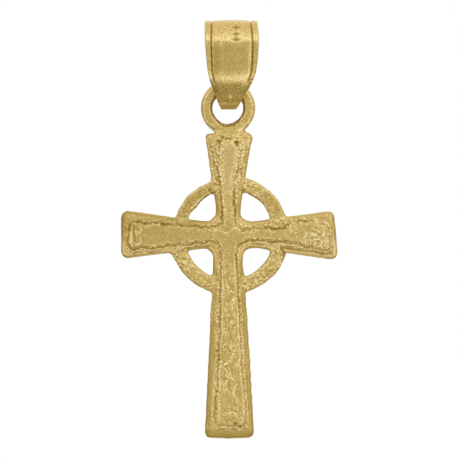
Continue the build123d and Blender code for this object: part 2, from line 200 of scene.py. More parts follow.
# Marks on the back: height (minus for a groove), half width, and the points that each mark follows
marks = [
    (0.034, 0.040, [(-0.71, 0.57), (-0.64, 0.28), (-0.45, 0.20), (-0.19, 0.09), (0.10, 0.28),
                    (0.47, 0.54), (0.58, 0.76)]),
    (0.035, 0.050, [(-1.49, 0.43), (-1.20, 0.24), (-0.95, 0.40)]),
    (0.050, 0.070, [(-7.22, 0.70), (-7.25, 0.20), (-7.26, -0.40), (-7.20, -0.85)]),
    (-0.080, 0.055, [(-7.05, 0.60), (-7.03, 0.24), (-6.99, -0.10), (-7.00, -0.46)]),
    (0.045, 0.055, [(-6.92, 0.30), (-6.88, -0.05), (-6.66, 0.12), (-6.50, 0.34), (-6.58, 0.55)]),
    (0.035, 0.050, [(-6.60, -0.20), (-6.44, -0.45), (-6.60, -0.66), (-6.90, -0.74)]),
    (-0.040, 0.110, [(-1.28, 6.45), (-1.22, 5.80), (-1.12, 5.10)]),
    (-0.050, 0.060, [(-0.95, 4.90), (-0.86, 4.27), (-0.78, 3.60), (-0.70, 3.00)]),
    (0.040, 0.060, [(-1.30, 4.90), (-1.18, 4.45), (-1.20, 4.05)]),
    (-0.070, 0.050, [(-0.54, 7.24), (-0.26, 7.14), (0.02, 7.10), (0.16, 7.00)]),
    (0.040, 0.050, [(-0.38, 6.98), (0.00, 7.04), (0.40, 7.08), (0.75, 7.02), (0.98, 6.88), (1.10, 6.60),
                    (1.06, 6.20), (0.98, 5.80)]),
    (0.030, 0.050, [(0.80, 6.20), (0.90, 5.90), (0.93, 5.40)]),
    (0.060, 0.045, [(5.45, 1.32), (5.80, 1.12), (6.10, 0.95), (6.35, 0.80)]),
    (-0.050, 0.040, [(5.62, 1.36), (6.00, 1.14), (6.26, 0.96), (6.50, 0.80)]),
    (0.060, 0.060, [(6.12, 1.14), (6.40, 0.92), (6.65, 0.72), (6.95, 0.66), (7.18, 0.70)]),
    (0.040, 0.050, [(7.42, 0.60), (7.46, 0.10), (7.50, -0.40), (7.48, -0.85), (7.30, -1.20)]),
    (-0.060, 0.110, [(4.09, -1.01), (5.28, -1.20), (6.16, -1.24), (6.90, -1.42), (7.40, -1.40)]),
    (-0.060, 0.060, [(7.57, -0.10), (7.60, -0.80), (7.55, -1.40)]),
    (0.035, 0.050, [(7.72, -0.05), (7.76, -0.70), (7.74, -1.30)]),
    (0.045, 0.055, [(5.60, -0.75), (5.66, -0.42), (5.92, -0.28), (6.06, -0.50), (5.94, -0.72)]),
    (0.040, 0.055, [(6.38, -0.90), (6.36, -0.55), (6.30, -0.20), (6.42, 0.10)]),
    (0.045, 0.055, [(6.70, -0.85), (6.86, -0.60), (6.84, -0.30), (7.02, 0.02), (7.00, 0.30)]),
    (0.040, 0.055, [(5.55, 0.00), (5.75, 0.12), (5.92, 0.02), (6.10, 0.20), (6.20, -0.05)]),
    (0.040, 0.055, [(7.05, -0.85), (7.18, -0.60), (7.14, -0.25)]),
    (-0.070, 0.060, [(0.04, -6.10), (0.00, -6.34)]),
    (-0.060, 0.045, [(0.08, -7.20), (0.14, -7.55), (0.12, -7.85), (0.04, -8.10)]),
    (0.040, 0.050, [(0.22, -6.55), (0.10, -6.42), (0.26, -6.32), (0.36, -6.48), (0.22, -6.55)]),
    (-0.055, 0.055, [(-0.10, -8.35), (-0.02, -8.55), (0.10, -8.70)]),
    (0.045, 0.055, [(0.55, -11.03), (0.25, -11.55), (0.40, -11.92)]),
    (0.040, 0.055, [(-0.30, -9.90), (-0.10, -10.15), (-0.26, -10.45), (-0.05, -10.70), (-0.30, -10.95),
                    (-0.12, -11.25), (-0.30, -11.50)]),
    (0.035, 0.050, [(0.05, -10.05), (0.12, -10.40), (-0.02, -10.60)]),
    (-0.035, 0.040, [(0.05, -13.06), (0.30, -12.98), (0.55, -13.10)]),
    (0.035, 0.040, [(-0.20, -13.12), (0.05, -13.18), (0.30, -13.08), (0.55, -13.22), (0.62, -13.50)]),
    (0.035, 0.040, [(-0.30, -14.46), (0.05, -14.50)]),
    (0.055, 0.060, [(0.40, -1.60), (0.41, -2.60), (0.52, -3.60), (0.57, -4.45), (0.62, -5.56),
                    (0.69, -6.52), (0.75, -7.50), (0.78, -8.15), (0.80, -8.65)]),
    (0.060, 0.120, [(0.76, -9.30), (0.66, -9.55), (0.62, -9.62)]),
    (0.055, 0.055, [(0.78, -9.50), (0.84, -9.85), (0.91, -10.26), (0.95, -11.14), (1.08, -11.88)]),
    (0.060, 0.060, [(1.08, -11.88), (1.11, -12.54), (1.17, -13.49), (1.11, -13.89), (0.91, -14.23)]),
    (0.050, 0.075, [(-0.50, -2.60), (-0.48, -3.60), (-0.50, -4.60)]),
    (0.035, 0.060, [(-0.50, -4.90), (-0.52, -5.60), (-0.52, -6.40), (-0.52, -7.60)]),
    (0.050, 0.090, [(-0.72, -9.90), (-0.70, -10.30), (-0.69, -10.50)]),
    (0.045, 0.070, [(-0.68, -10.80), (-0.68, -11.20), (-0.70, -11.45)]),
    (0.035, 0.050, [(-0.96, -9.90), (-0.98, -10.60), (-0.94, -11.40)]),
    (0.045, 0.070, [(-0.76, -11.75), (-0.77, -12.20), (-0.75, -12.50)]),
    (0.040, 0.060, [(-0.74, -12.80), (-0.76, -13.30), (-0.74, -13.80)]),
    (0.040, 0.060, [(-1.18, -12.60), (-1.16, -13.00), (-1.20, -13.30)]),
    (-0.050, 0.050, [(-1.02, -12.00), (-1.04, -12.80), (-1.20, -13.50), (-1.28, -13.90)]),
    (0.035, 0.040, [(-1.10, -13.60), (-1.08, -13.95), (-0.80, -14.12)]),
    (0.040, 0.045, [(-0.48, -14.22), (-0.10, -14.28), (0.15, -14.22)]),
    (0.055, 0.050, [(-1.82, 8.80), (-1.74, 8.45), (-1.38, 7.98), (-1.01, 7.64), (-0.62, 7.58)]),
    (0.055, 0.050, [(1.52, 8.36), (1.21, 7.98), (0.89, 7.78), (0.66, 7.72)]),
    (-0.035, 0.060, [(-0.85, 7.66), (-0.30, 7.58), (0.30, 7.60)]),
    (0.060, 0.090, [(0.72, 6.15), (0.70, 5.60), (0.56, 4.95)]),
    (0.060, 0.070, [(0.56, 4.95), (0.46, 4.40), (0.36, 3.90), (0.28, 3.50)]),
    (0.050, 0.050, [(0.86, 6.45), (0.98, 5.90), (0.94, 5.50)]),
    (0.045, 0.045, [(0.92, 5.20), (0.80, 4.80), (0.84, 4.40), (0.74, 4.05)]),
    (-0.060, 0.045, [(0.98, 5.15), (0.90, 4.70), (0.94, 4.30)]),
    (-0.050, 0.040, [(0.70, 4.95), (0.62, 4.55), (0.52, 4.25)]),
    (0.055, 0.060, [(-0.92, 6.55), (-0.94, 6.20), (-0.80, 5.95)]),
    (0.055, 0.070, [(-0.52, 6.52), (-0.50, 6.30)]),
    (0.045, 0.060, [(-0.74, 5.30), (-0.72, 4.90), (-0.60, 4.40)]),
    (0.045, 0.050, [(-0.57, 4.20), (-0.61, 3.60), (-0.52, 3.10), (-0.43, 2.30), (-0.42, 1.50)]),
    (-0.120, 0.080, [(3.87, -0.98), (4.02, -1.27), (4.10, -1.57)]),
    (-0.040, 0.060, [(-3.89, -1.64), (-3.55, -1.80), (-3.25, -1.78)]),
    (0.030, 0.060, [(-3.85, -1.50), (-3.50, -1.62), (-3.20, -1.58)]),
    (0.050, 0.055, [(-1.95, 2.78), (-2.40, 2.40), (-2.80, 1.95)]),
    (0.060, 0.040, [(1.34, -3.62), (1.27, -3.49), (1.14, -3.44), (1.01, -3.50), (0.95, -3.63),
                    (1.01, -3.76), (1.14, -3.82), (1.28, -3.76), (1.34, -3.62)]),
    (-0.060, 0.080, [(2.50, -3.20), (2.90, -2.95), (3.20, -2.65)]),
]
ridge_share = 0.45               # share of its height that a ridge keeps
groove_share = 1.3
bright_ridge = 0.04              # a ridge of this height gets the full painted highlight on its top
dark_groove = 0.10               # and a groove of this depth gets the full painted shade

# Pits: x and z from the crossing, radius and depth
pits = [
    (-0.49, 7.22, 0.09, 0.12), (-0.22, 7.06, 0.07, 0.10), (-0.78, 6.86, 0.15, 0.10),
    (-0.90, 6.72, 0.10, 0.08), (0.58, 6.82, 0.17, 0.24), (0.60, 6.62, 0.09, 0.12),
    (-1.20, 6.10, 0.10, 0.08), (-0.75, 6.15, 0.07, 0.06), (0.86, 5.22, 0.07, 0.09),
    (0.88, 4.86, 0.07, 0.10), (0.60, 4.70, 0.08, 0.08), (-1.42, 3.30, 0.12, 0.12),
    (-1.30, 3.12, 0.10, 0.12), (-3.38, 1.62, 0.09, 0.08), (-3.18, 1.69, 0.08, 0.09),
    (-2.99, 1.66, 0.06, 0.07), (-1.02, 2.28, 0.06, 0.07), (1.02, 3.20, 0.09, 0.08),
    (3.00, 2.90, 0.09, 0.06), (-0.82, -6.05, 0.09, 0.10), (-0.80, -8.15, 0.08, 0.10),
    (-0.92, -8.62, 0.09, 0.10), (-0.72, -9.22, 0.08, 0.10), (-0.86, -6.25, 0.08, 0.08),
    (-0.72, -4.95, 0.09, 0.08), (-0.70, -4.10, 0.07, 0.08), (-1.55, -14.10, 0.14, 0.06),
    (0.32, -13.55, 0.07, 0.10), (0.42, -13.92, 0.13, 0.12), (0.80, -14.20, 0.12, 0.12),
    (-0.15, -14.24, 0.09, 0.08), (1.14, -3.63, 0.11, 0.09), (1.14, -3.63, 0.05, -0.06),
    (1.55, -3.95, 0.09, 0.10), (1.25, -9.98, 0.10, 0.06), (0.95, -5.80, 0.08, 0.08),
    (-0.40, 8.20, 0.09, 0.14), (-0.18, 8.13, 0.08, 0.13), (0.05, 8.11, 0.07, 0.12),
    (0.36, 8.19, 0.08, 0.13), (0.66, 8.38, 0.07, 0.09), (-1.22, 9.86, 0.09, 0.08),
    (-1.70, -3.85, 0.09, 0.06), (-1.48, -3.85, 0.07, 0.06), (1.05, -6.72, 0.08, 0.08),
    (-7.00, -1.12, 0.09, 0.08),
]
# A pit of this depth gets the full painted shade, and painted shade goes up to darkest
dark_pit = 0.09
darkest = 1.4

# Dimple: x, z, half length, half height, depth
dimple = (-0.16, -13.70, 0.42, 0.24, 0.07)

# Ground and rough patches of the strip: x, z, half length, half height, roughness from 0 to 1
rough_patches = [
    (6.35, -0.25, 0.95, 0.80, 1.0), (4.75, 0.55, 0.45, 0.55, 0.6), (-6.75, -0.10, 0.50, 0.90, 0.45),
    (0.62, 5.00, 0.30, 1.30, 0.7), (-0.55, 5.60, 0.25, 1.20, 0.5), (0.10, -4.40, 0.65, 1.60, 0.75),
    (0.05, -8.20, 0.75, 1.10, 0.75), (-0.10, -10.40, 0.60, 1.30, 0.9), (0.20, -12.95, 0.75, 0.55, 0.7),
    (-0.30, -6.00, 0.35, 0.60, 0.8), (0.05, -6.60, 0.70, 1.20, 0.7), (1.60, 0.05, 0.50, 0.35, 0.4),
    (0.00, -14.25, 0.95, 0.20, 0.7),
]

# Grain from 0 to 1: how coarse the skin is on each part, and where a part has more or less of it
strip_rough = 0.22
lower_strip_rougher = 0.20
upper_strip_smoother = 0.14
strip_edge_rough = 0.9
curl_rough = 0.8                 # share of the grain that gives way to the curled flow marks
border_grain = 0.45
border_grain_varies = 0.35
upper_border_coarser = 0.35
side_tops_coarser = 0.28
ring_grain = 0.62
ring_grain_varies = 0.20
ring_left_finer = 0.32
ring_top_finer = 0.14
wire_grain = 0.20
wire_ground = 0.6

# Painted light and shade, and other darker places: a darker blot where the loop is soldered on, painted shade
# in a line round the loop's hole, a painted highlight in a line round its outer edge, how much brighter the
# upper strip gets, and how bright the edges that stick out are painted, as highlight and wear
joint_z = -7.35
joint_half_long = 1.1
joint_half_high = 0.55
joint_dark = 0.45
hole_dark_in = 0.16
hole_darkest_in = 0.07
hole_dark_wave = 0.05
hole_top_less = 0.4
loop_line_in = 0.19
loop_line_width = 0.07
loop_line_bright = 0.55
loop_line_varies = 0.25
upper_bright = 0.35
under_side_bright = 0.22
end_bright = 0.80
bright_clears_dark = 0.8            # share of the darkening that the painted highlight and wear take off


def smooth_step(low, high, value):
    """0 at low and 1 at high, with a soft turn at both ends."""
    share = np.clip((value - low) / (high - low), 0, 1)
    return share * share * (3 - 2 * share)


def band(start, full, full_end, end, value):
    """1 from full to full_end, falling softly to 0 at start and at end."""
    return smooth_step(start, full, value) * smooth_step(end, full_end, value)


def bell(value, middle, half_width):
    """1 in the middle, falling softly to both sides."""
    return np.exp(-((value - middle) / half_width) ** 2)


def blend(first, second, share):
    """The first value where the share is 0 and the second where it is 1."""
    return first * (1 - share) + second * share


def ripple(points, size, seed):
    """Smooth random unevenness from -1 to 1, with bumps of about the given size."""
    table_side = 64
    table = np.random.default_rng(seed).uniform(-1, 1, (table_side, table_side))
    place = points / size + 1000.0
    cell = np.floor(place).astype(int)
    share = place - cell
    share = share * share * (3 - 2 * share)
    x0, z0 = cell[:, 0] % table_side, cell[:, 1] % table_side
    x1, z1 = (x0 + 1) % table_side, (z0 + 1) % table_side
    low = blend(table[x0, z0], table[x1, z0], share[:, 0])
    high = blend(table[x0, z1], table[x1, z1], share[:, 0])
    return blend(low, high, share[:, 1])


def patchy(points, middle, *ripples):
    """A share from 0 to 1 round the middle, uneven by ripples of the given amount, size and seed."""
    return np.clip(middle + sum(amount * ripple(points, size, seed) for amount, size, seed in ripples), 0, 1)


def rounded_line(points, closed, rounds=2):
    """The line with its corners cut, so that it runs smoothly. Any further columns follow."""
    line = np.array(points, float)
    for _ in range(rounds):
        after = np.roll(line, -1, 0) if closed else line[1:]
        before = line if closed else line[:-1]
        cut = np.stack([0.75 * before + 0.25 * after, 0.25 * before + 0.75 * after], 1)
        cut = cut.reshape(-1, line.shape[1])
        line = cut if closed else np.vstack([line[:1], cut, line[-1:]])
    return line


def nearest_on_line(points, line):
    """Distance from each point to an open line, and the line's further columns at the nearest place."""
    start, run = line[:-1, :2], np.diff(line[:, :2], axis=0)
    square = (run ** 2).sum(1)
    distance = np.empty(len(points))
    values = np.empty((len(points), line.shape[1] - 2))
    at_a_time = 4000
    for first in range(0, len(points), at_a_time):
        part = points[first:first + at_a_time]
        away = part[:, None] - start
        along = np.clip((away * run).sum(2) / square, 0, 1)
        squares = ((away - along[..., None] * run) ** 2).sum(2)
        nearest = squares.argmin(1)
        rows = np.arange(len(part))
        distance[first:first + at_a_time] = np.sqrt(squares[rows, nearest])
        share = along[rows, nearest][:, None]
        values[first:first + at_a_time] = blend(line[nearest, 2:], line[nearest + 1, 2:], share)
    return distance, values


def inside_outline(points, line):
    """True for each point that lies inside the closed outline."""
    inside = np.zeros(len(points), bool)
    for (x0, z0), (x1, z1) in zip(line[:, :2], np.roll(line[:, :2], -1, 0)):
        crosses = (z0 > points[:, 1]) != (z1 > points[:, 1])
        with np.errstate(divide="ignore", invalid="ignore"):
            at = x0 + (points[:, 1] - z0) * (x1 - x0) / (z1 - z0)
        inside ^= crosses & (points[:, 0] < at)
    return inside


def cad_outlines(node):
    """Outlines of a CAD node where the plane through its middle cuts it: the outer one first."""
    cut = bmesh.new()
    cut.from_mesh(node.data)
    bmesh.ops.remove_doubles(cut, verts=cut.verts, dist=1e-7)
    found = bmesh.ops.bisect_plane(
        cut, geom=cut.verts[:] + cut.edges[:] + cut.faces[:], plane_co=(0, 0, 0), plane_no=(0, 1, 0))
    beside = {}
    for edge in found["geom_cut"]:
        if isinstance(edge, bmesh.types.BMEdge):
            first, second = edge.verts
            beside.setdefault(first, []).append(second)
            beside.setdefault(second, []).append(first)
    outlines = []
    while beside:
        point = next(iter(beside))
        walk = []
        while point in beside:
            walk.append((point.co.x / MM, point.co.z / MM))
            after = beside.pop(point)
            point = next((other for other in after if other in beside), None)
        outlines.append(np.array(walk))
    cut.free()
    return sorted(outlines, key=lambda line: -np.ptp(line[:, 1]))


def even_outline(line, step, hole):
    """The closed outline with evenly spaced points, walked so that the metal is on its left."""
    x, z = line.T
    runs_left = (x * np.roll(z, -1) - np.roll(x, -1) * z).sum() > 0
    closed = np.vstack([line, line[:1]])[::-1 if runs_left == hole else 1]
    along = np.concatenate([[0], np.cumsum(np.hypot(*np.diff(closed, axis=0).T))])
    places = np.linspace(0, along[-1], ceil(along[-1] / step), endpoint=False)
    even = np.column_stack([np.interp(places, along, column) for column in closed.T])
    for _ in range(2):
        even = 0.5 * even + 0.25 * (np.roll(even, 1, 0) + np.roll(even, -1, 0))
    return even


def outward(line):
    """Unit normals of a closed outline that keeps the metal on its left."""
    tangent = np.roll(line, -2, 0) - np.roll(line, 2, 0)
    tangent /= np.hypot(*tangent.T)[:, None]
    return np.column_stack([tangent[:, 1], -tangent[:, 0]])


def arm_half_width(arm, along):
    """Half the width of an arm at a distance along it from the crossing."""
    end_half, length, flare_run = arm
    return end_half - (length - along) * arm_flare / flare_run


def arm_side(points):
    """How far each point lies inside the nearest arm's edges: minus beyond them."""
    x, z = np.abs(points[:, 0]), points[:, 1] - crossing_z
    across = arm_half_width(side_arm, x) - np.abs(z)
    upright = np.where(z > 0, arm_half_width(upper_arm, z), arm_half_width(lower_arm, -z)) - x
    return np.maximum(across, upright)


def ring_share(points, turn):
    """1 on the ring and 0 on the arms and the loop."""
    radius = np.hypot(points[:, 0], points[:, 1] - crossing_z)
    beside_arms = smooth_step(*turn, arm_side(points)) * (1 - smooth_step(*wire_turn, points[:, 1]))
    return beside_arms * smooth_step(ring_inner_radius - ring_fade, ring_inner_radius, radius)


def quarter_round(inward, width, depth):
    """How far an edge that is rounded over lies under the face beside it."""
    share = np.clip(1 - inward / width, 0, 1)
    return depth * (1 - np.sqrt(1 - share ** 2))


def wire_height(inward, level):
    """Height of the round wire over the middle plane, where its face is ground flat at the level."""
    wire_in = np.clip(inward, 0, wire_half)
    height = np.sqrt(wire_half ** 2 - (wire_half - wire_in) ** 2)
    return -np.log(np.exp(-height / wire_corner) + np.exp(-level / wire_corner)) * wire_corner


strip_line = rounded_line([(x, z + crossing_z, share) for x, z, share in strip_outline], True)
strip_line = np.vstack([strip_line, strip_line[:1]])


def back_places(points, inward):
    """Where points of the back lie, with their shares, from 0 to 1, of the parts that they lie on.

    Each soft step runs from where a part starts to where it is full, in mm from the crossing.
    """
    at = SimpleNamespace(points=points, inward=inward, x=points[:, 0], z=points[:, 1])
    at.above = at.z - crossing_z
    at.wire = smooth_step(*wire_turn, at.z)
    at.ring = ring_share(points, back_ring_turn)
    distance, crease_share = nearest_on_line(points, strip_line)
    at.crease_share = crease_share[:, 0]
    at.within = np.where(inside_outline(points, strip_line[:-1]), distance, -distance)
    at.within += wander * ripple(points, 0.30, 11) + 0.5 * wander * ripple(points, 0.14, 12)
    at.strip_edge = bell(at.within, 0, 0.24)
    at.strip = smooth_step(0.02, 0.25, at.within)
    at.border = (1 - at.strip) * (1 - at.ring)
    at.upper_arm = smooth_step(2.5, 3.5, at.above)
    at.lower_arm = smooth_step(-1.6, -2.6, at.above)
    at.left_arm = smooth_step(-0.6, -3.0, at.x) * smooth_step(1.9, 1.7, np.abs(at.above)) * (1 - at.ring)
    at.right_arm = smooth_step(2.0, 3.0, at.x)
    at.side_arms = smooth_step(1.5, 2.5, np.abs(at.x))
    at.side_tops = band(0.0, 0.4, 1.9, 2.6, at.above) * at.side_arms
    at.upper_left = smooth_step(0.5, -0.5, at.x) * smooth_step(-0.5, 0.5, at.above)
    at.upper_half = smooth_step(-0.3, 0.3, at.above)
    at.upper_border = at.upper_half * at.border
    dent_x, dent_z, dent_long, dent_high, _ = dimple
    at.dent = bell(at.x, dent_x, dent_long) * bell(at.above, dent_z, dent_high)
    at.from_loop = np.hypot(at.x - loop_x, at.z - loop_z)
    return at


def plate_height(at):
    """Height of the plate and the wire over the middle plane, before the strip and the marks."""
    round_in = blend(border_round_in, ring_round_in, at.ring)
    round_deep = blend(border_round_deep, ring_round_deep, at.ring)
    round_deep *= 1 - end_round_less * smooth_step(-14.60, -14.85, at.above)
    level = blend(plate_half, wire_flat, smooth_step(plate_top_z - 0.20, plate_top_z + 0.80, at.z))
    plate = level - ring_drop * at.ring - quarter_round(at.inward, round_in, round_deep)
    slope = border_slope * np.clip(border_slope_in - at.inward, 0, None) * (1 - at.ring)
    slope *= 1 - lower_slope_less * band(-0.3, -0.6, -1.7, -1.9, at.above)
    plate -= np.maximum(slope, end_slope * np.clip(end_slope_from - at.above, 0, None))
    return blend(plate, wire_height(at.inward, level), at.wire)


def strip_edge(at):
    """Height that the strip and the lines beside its edge add, and masks of its crease with its painted
    shade, and of bright lines of painted highlight and wear.
    """
    share = at.crease_share * (1 + crease_varies * ripple(at.points, 0.45, 13))
    share *= 1 - lower_crease_less * at.lower_arm
    at_once = strip_step * np.clip(share, 0, 1)
    slope_half = strip_slope + upper_strip_slope * at.upper_arm
    height = strip_rise * blend(smooth_step(-slope_half, slope_half, at.within),
                                smooth_step(-0.03, 0.06, at.within), at_once)
    # The crease is cut into the height, and the same mask paints shade into it
    crease = bell(at.within, -crease_away, crease_width) * np.clip(share, faintest_crease, darkest)
    lip = bell(at.within, lip_inside, lip_width) * patchy(at.points, 0.55, (0.45, 0.22, 14))
    outer_lip = bell(at.within, -outer_lip_away, lip_width) * patchy(at.points, 0.4, (0.9, 0.40, 15))
    height += lip_height * lip + outer_lip_height * outer_lip * (1 - at.wire) - crease_depth * crease
    # Bright lines inside and outside the strip's edge: painted highlight, and wear
    rub = bell(at.within, bright_line_inside, bright_line_width) * patchy(at.points, 0.45, (1.2, 0.13, 18), (0.4, 0.5, 19))
    rub += bell(at.within, -bright_line_outside, bright_line_width) * patchy(at.points, 0.20, (1.2, 0.15, 20), (0.5, 0.5, 23))
    # The deeper the crease, the less painted highlight and wear lie beside it
    rub *= np.clip(1.45 - share, 0.35, 1.2) * (1 - at.wire)
    return height, crease, rub


def small_marks(at):
    """Height that ridges, grooves, pits and the dimple add, and masks of painted shade in the hollows, of
    ridges, and of painted highlight on the ridges' tops.
    """
    height, hollow, ridge, top = np.zeros((4, len(at.x)))
    for mark_height, half_width, line in marks:
        line = rounded_line([(x, z + crossing_z) for x, z in line], False)
        reach = 3 * half_width
        near = ((at.points > line.min(0) - reach) & (at.points < line.max(0) + reach)).all(1)
        if near.any():
            mark = bell(nearest_on_line(at.points[near], line)[0], 0, half_width)
            if mark_height > 0:
                height[near] += ridge_share * mark_height * mark
                ridge[near] = np.maximum(ridge[near], mark)
                top[near] = np.maximum(top[near], mark * min(1, mark_height / bright_ridge))
            else:
                height[near] += groove_share * mark_height * mark
                hollow[near] = np.maximum(hollow[near], mark * min(1, -mark_height / dark_groove))
    for pit_x, pit_z, radius, depth in pits:
        pit = bell(np.hypot(at.x - pit_x, at.above - pit_z), 0, radius)
        height -= depth * pit
        hollow = np.maximum(hollow, pit * min(darkest, depth / dark_pit))
    return height - dimple[-1] * at.dent, hollow, ridge, top


def surface_masks(at, ridge):
    """Masks of the coarse grain, of the curled flow marks and of how cleanly the metal is ground."""
    rough = strip_rough + lower_strip_rougher * at.lower_arm
    rough -= upper_strip_smoother * smooth_step(1.6, 2.6, at.above)
    for patch_x, patch_z, half_long, half_high, amount in rough_patches:
        far = np.hypot((at.x - patch_x) / half_long, (at.above - patch_z) / half_high)
        rough = np.maximum(rough, amount * smooth_step(1.2, 0.5, far))
    rough *= 1 - np.clip(1.3 * at.dent, 0, 1)
    rough = np.maximum(rough, strip_edge_rough * at.strip_edge)
    curl = at.strip * smooth_step(0.45, 0.90, rough) * (1 - at.strip_edge)
    border = border_grain + border_grain_varies * ripple(at.points, 1.1, 16)
    border = np.maximum(border, strip_edge_rough * at.strip_edge) + side_tops_coarser * at.side_tops
    border += upper_border_coarser * at.upper_arm * smooth_step(0.3, -0.8, at.x)
    ring = ring_grain + ring_grain_varies * ripple(at.points, 1.3, 17) - ring_left_finer * at.upper_left
    ring -= ring_top_finer * smooth_step(0.5, 1.5, at.above) * (1 - at.upper_left)
    grain = blend(blend(border, rough * (1 - curl_rough * curl), at.strip), ring, at.ring)
    # The skin is finer at the top of the upper arm, at the lower arm's end, along rims and on ridges
    grain *= 1 - 0.35 * smooth_step(6.95, 7.25, at.above) * (1 - at.wire)
    grain *= 1 - 0.85 * smooth_step(-14.42, -14.56, at.above)
    smooth_rim = smooth_step(0.22 - 0.12 * at.side_tops, 0.42 - 0.16 * at.side_tops, at.inward)
    smooth_rim = blend(smooth_rim, smooth_step(-0.10, 0.12, at.inward), at.upper_arm * (1 - at.wire))
    grain *= blend(smooth_rim, smooth_step(-0.20, 0.20, at.inward), at.ring)
    grain *= 1 - 0.6 * ridge * smooth_step(0.5, -1.5, at.above)
    ground = np.maximum(at.strip * (1 - rough), wire_ground * at.wire)
    return blend(grain, wire_grain, at.wire), curl, ground


def darkening_share(at):
    """How much darker the metal is painted: 0 where it is clean, and 1 where it is as dark as a crease. It is
    painted shade in a line along the upper borders' slope, on the lower arm's sloping borders, on its falling
    end and in the dimple; elsewhere it is only darker: on the left arm and its end, on the side arms' upper
    borders, round the crossing, low on the lower arm's strip, on the ring, on the loop's left, and in a blot
    where the loop is soldered on.
    """
    dark_line = bell(at.inward, 0.17, 0.06) * patchy(at.points, 0.6, (0.6, 0.25, 26))
    crossing = band(-1.5, 0.0, 3.4, 4.4, at.x) * smooth_step(1.1, 0.7, np.abs(at.above))
    places = [
        (0.30, at.left_arm * at.strip),
        (0.56, at.left_arm * at.upper_border),
        (0.22, smooth_step(-6.1, -6.7, at.x) * (1 - at.upper_border)),
        (0.20, at.right_arm * at.upper_border),
        (0.45, (at.left_arm + 0.5 * at.right_arm) * at.upper_border * dark_line),
        (0.16, crossing * at.strip),
        (0.22, smooth_step(-1.8, -3.0, at.above) * at.border),
        (0.28, smooth_step(-1.8, -3.0, at.above) * at.border * smooth_step(0.48, 0.30, at.inward)),
        (0.14, smooth_step(-10.4, -11.4, at.above) * at.strip),
        (0.46, smooth_step(end_slope_from, end_slope_from - 0.22, at.above)),
        (0.35, at.dent),
        (0.06, at.ring),
        (0.12, at.ring * at.upper_half),
        (0.10, at.ring * at.upper_left),
        (0.14, at.wire * smooth_step(loop_x + 0.3, loop_x - 0.9, at.x)),
    ]
    dull = sum(amount * share for amount, share in places)
    # A darker blot where the loop is soldered on
    from_joint = np.hypot((at.x - loop_x) / joint_half_long, (at.z - joint_z) / joint_half_high)
    return np.maximum(dull, joint_dark * smooth_step(1.15, 0.75, from_joint))


def bright_edges(at):
    """How bright the edges that stick out are painted, as painted highlight and wear: under the side arms, at
    the lower end, on the ring.
    """
    under_sides = band(-0.4, -0.6, -1.7, -1.9, at.above) * at.border * at.side_arms
    end_edge = smooth_step(-14.6, -14.8, at.above) * smooth_step(0.13, 0.05, at.inward)
    ring_edge = at.ring * smooth_step(0.20, 0.04, at.inward) * patchy(at.points, 0.30, (0.6, 0.16, 25))
    return np.maximum.reduce([under_side_bright * under_sides, end_bright * end_edge, ring_edge])


def back_relief(points, inward):
    """Height of the back over the middle plane, and its masks by name."""
    at = back_places(points, inward)
    strip_height, crease, rub = strip_edge(at)
    mark_height, hollow, ridge, top = small_marks(at)
    height = plate_height(at) + strip_height + mark_height
    grain, curl, ground = surface_masks(at, ridge)
    rub = np.maximum.reduce([rub, top, bright_edges(at)])
    # Painted highlight and wear lift most of the painted shade and darkening
    dull = darkening_share(at) * (1 - bright_clears_dark * np.clip(rub, 0, 1))
    # Painted shade round the loop's hole, where its inner wall is shaded
    from_hole = at.from_loop - loop_hole_radius + hole_dark_wave * ripple(points, 0.12, 27)
    hole_edge = smooth_step(hole_dark_in, hole_darkest_in, from_hole) * at.wire
    hole_edge *= 1 - hole_top_less * smooth_step(-0.5, 0.9, at.z - loop_z)
    # The crease mask gathers the painted shade: creases, grooves, pits, the darkening below and the hole's
    # edge
    crease = np.maximum.reduce([crease, hollow, dull, darkest * hole_edge])
    # A painted highlight line round the loop's outer edge
    loop_line = bell(at.from_loop, loop_hole_radius + 2 * wire_half - loop_line_in, loop_line_width)
    loop_line *= at.wire * (loop_line_bright + loop_line_varies * ripple(points, 0.6, 24))
    # The upper arm's strip gets brighter towards its top
    polish = upper_bright * smooth_step(0.6, 2.5, at.above) * (1 - at.wire) * at.strip
    rub = np.maximum.reduce([rub, loop_line, polish])
    streak = at.strip * smooth_step(-1.0, -2.5, at.above)
    return height, {"crease": np.clip(crease, 0, darkest), "grain": grain, "curl": curl, "ground": ground,
                    "rub": np.clip(rub, 0, 1), "streak": streak}


def front_relief(points, inward):
    """Height of the front over the middle plane: plain, with the ring a little lower than the arms."""
    plate = plate_half - front_ring_drop * ring_share(points, front_ring_turn)
    plate -= quarter_round(inward, front_round, front_round)
    return blend(plate, wire_height(inward, wire_flat), smooth_step(*wire_turn, points[:, 1]))


def bulge_beside(points):
    """How far the outline's bulges and dips stand out beside each point."""
    out = 0 * points[:, 0]
    for bulge_x, bulge_z, height, half_length in outline_bulges:
        away = np.hypot(points[:, 0] - bulge_x, points[:, 1] - crossing_z - bulge_z) / half_length
        out += height * np.exp(-2 * away ** 2)
    return out


outlines = []
for number, line in enumerate(cad_outlines(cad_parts["celtic_cross"])):
    line = even_outline(line, contour_step, number > 0)
    normal = outward(line)
    lower_right = (line[:, 1] - crossing_z < lower_right_from) & (normal[:, 0] > faces_right)
    on_plate = smooth_step(plate_top_z + 0.1, plate_top_z - 0.3, line[:, 1])
    on_ring = on_plate * smooth_step(0.0, -0.2, arm_side(line))
    swell = skin_swell + lower_right_swell * lower_right + bulge_beside(line)
    swell += (short_wave_high * on_plate + ring_wave_high * on_ring) * ripple(line, short_wave, 21)
    swell += long_wave_high * on_plate * ripple(line, long_wave, 22)
    outlines.append(even_outline(line + normal * swell[:, None], contour_step, number > 0))

outline_points = np.vstack(outlines)
outline_normals = np.vstack([outward(line) for line in outlines])
outline_starts = np.cumsum([0] + [len(line) for line in outlines])
finder = KDTree(len(outline_points))
for index, (x, z) in enumerate(outline_points):
    finder.insert((x, z, 0), index)
finder.balance()

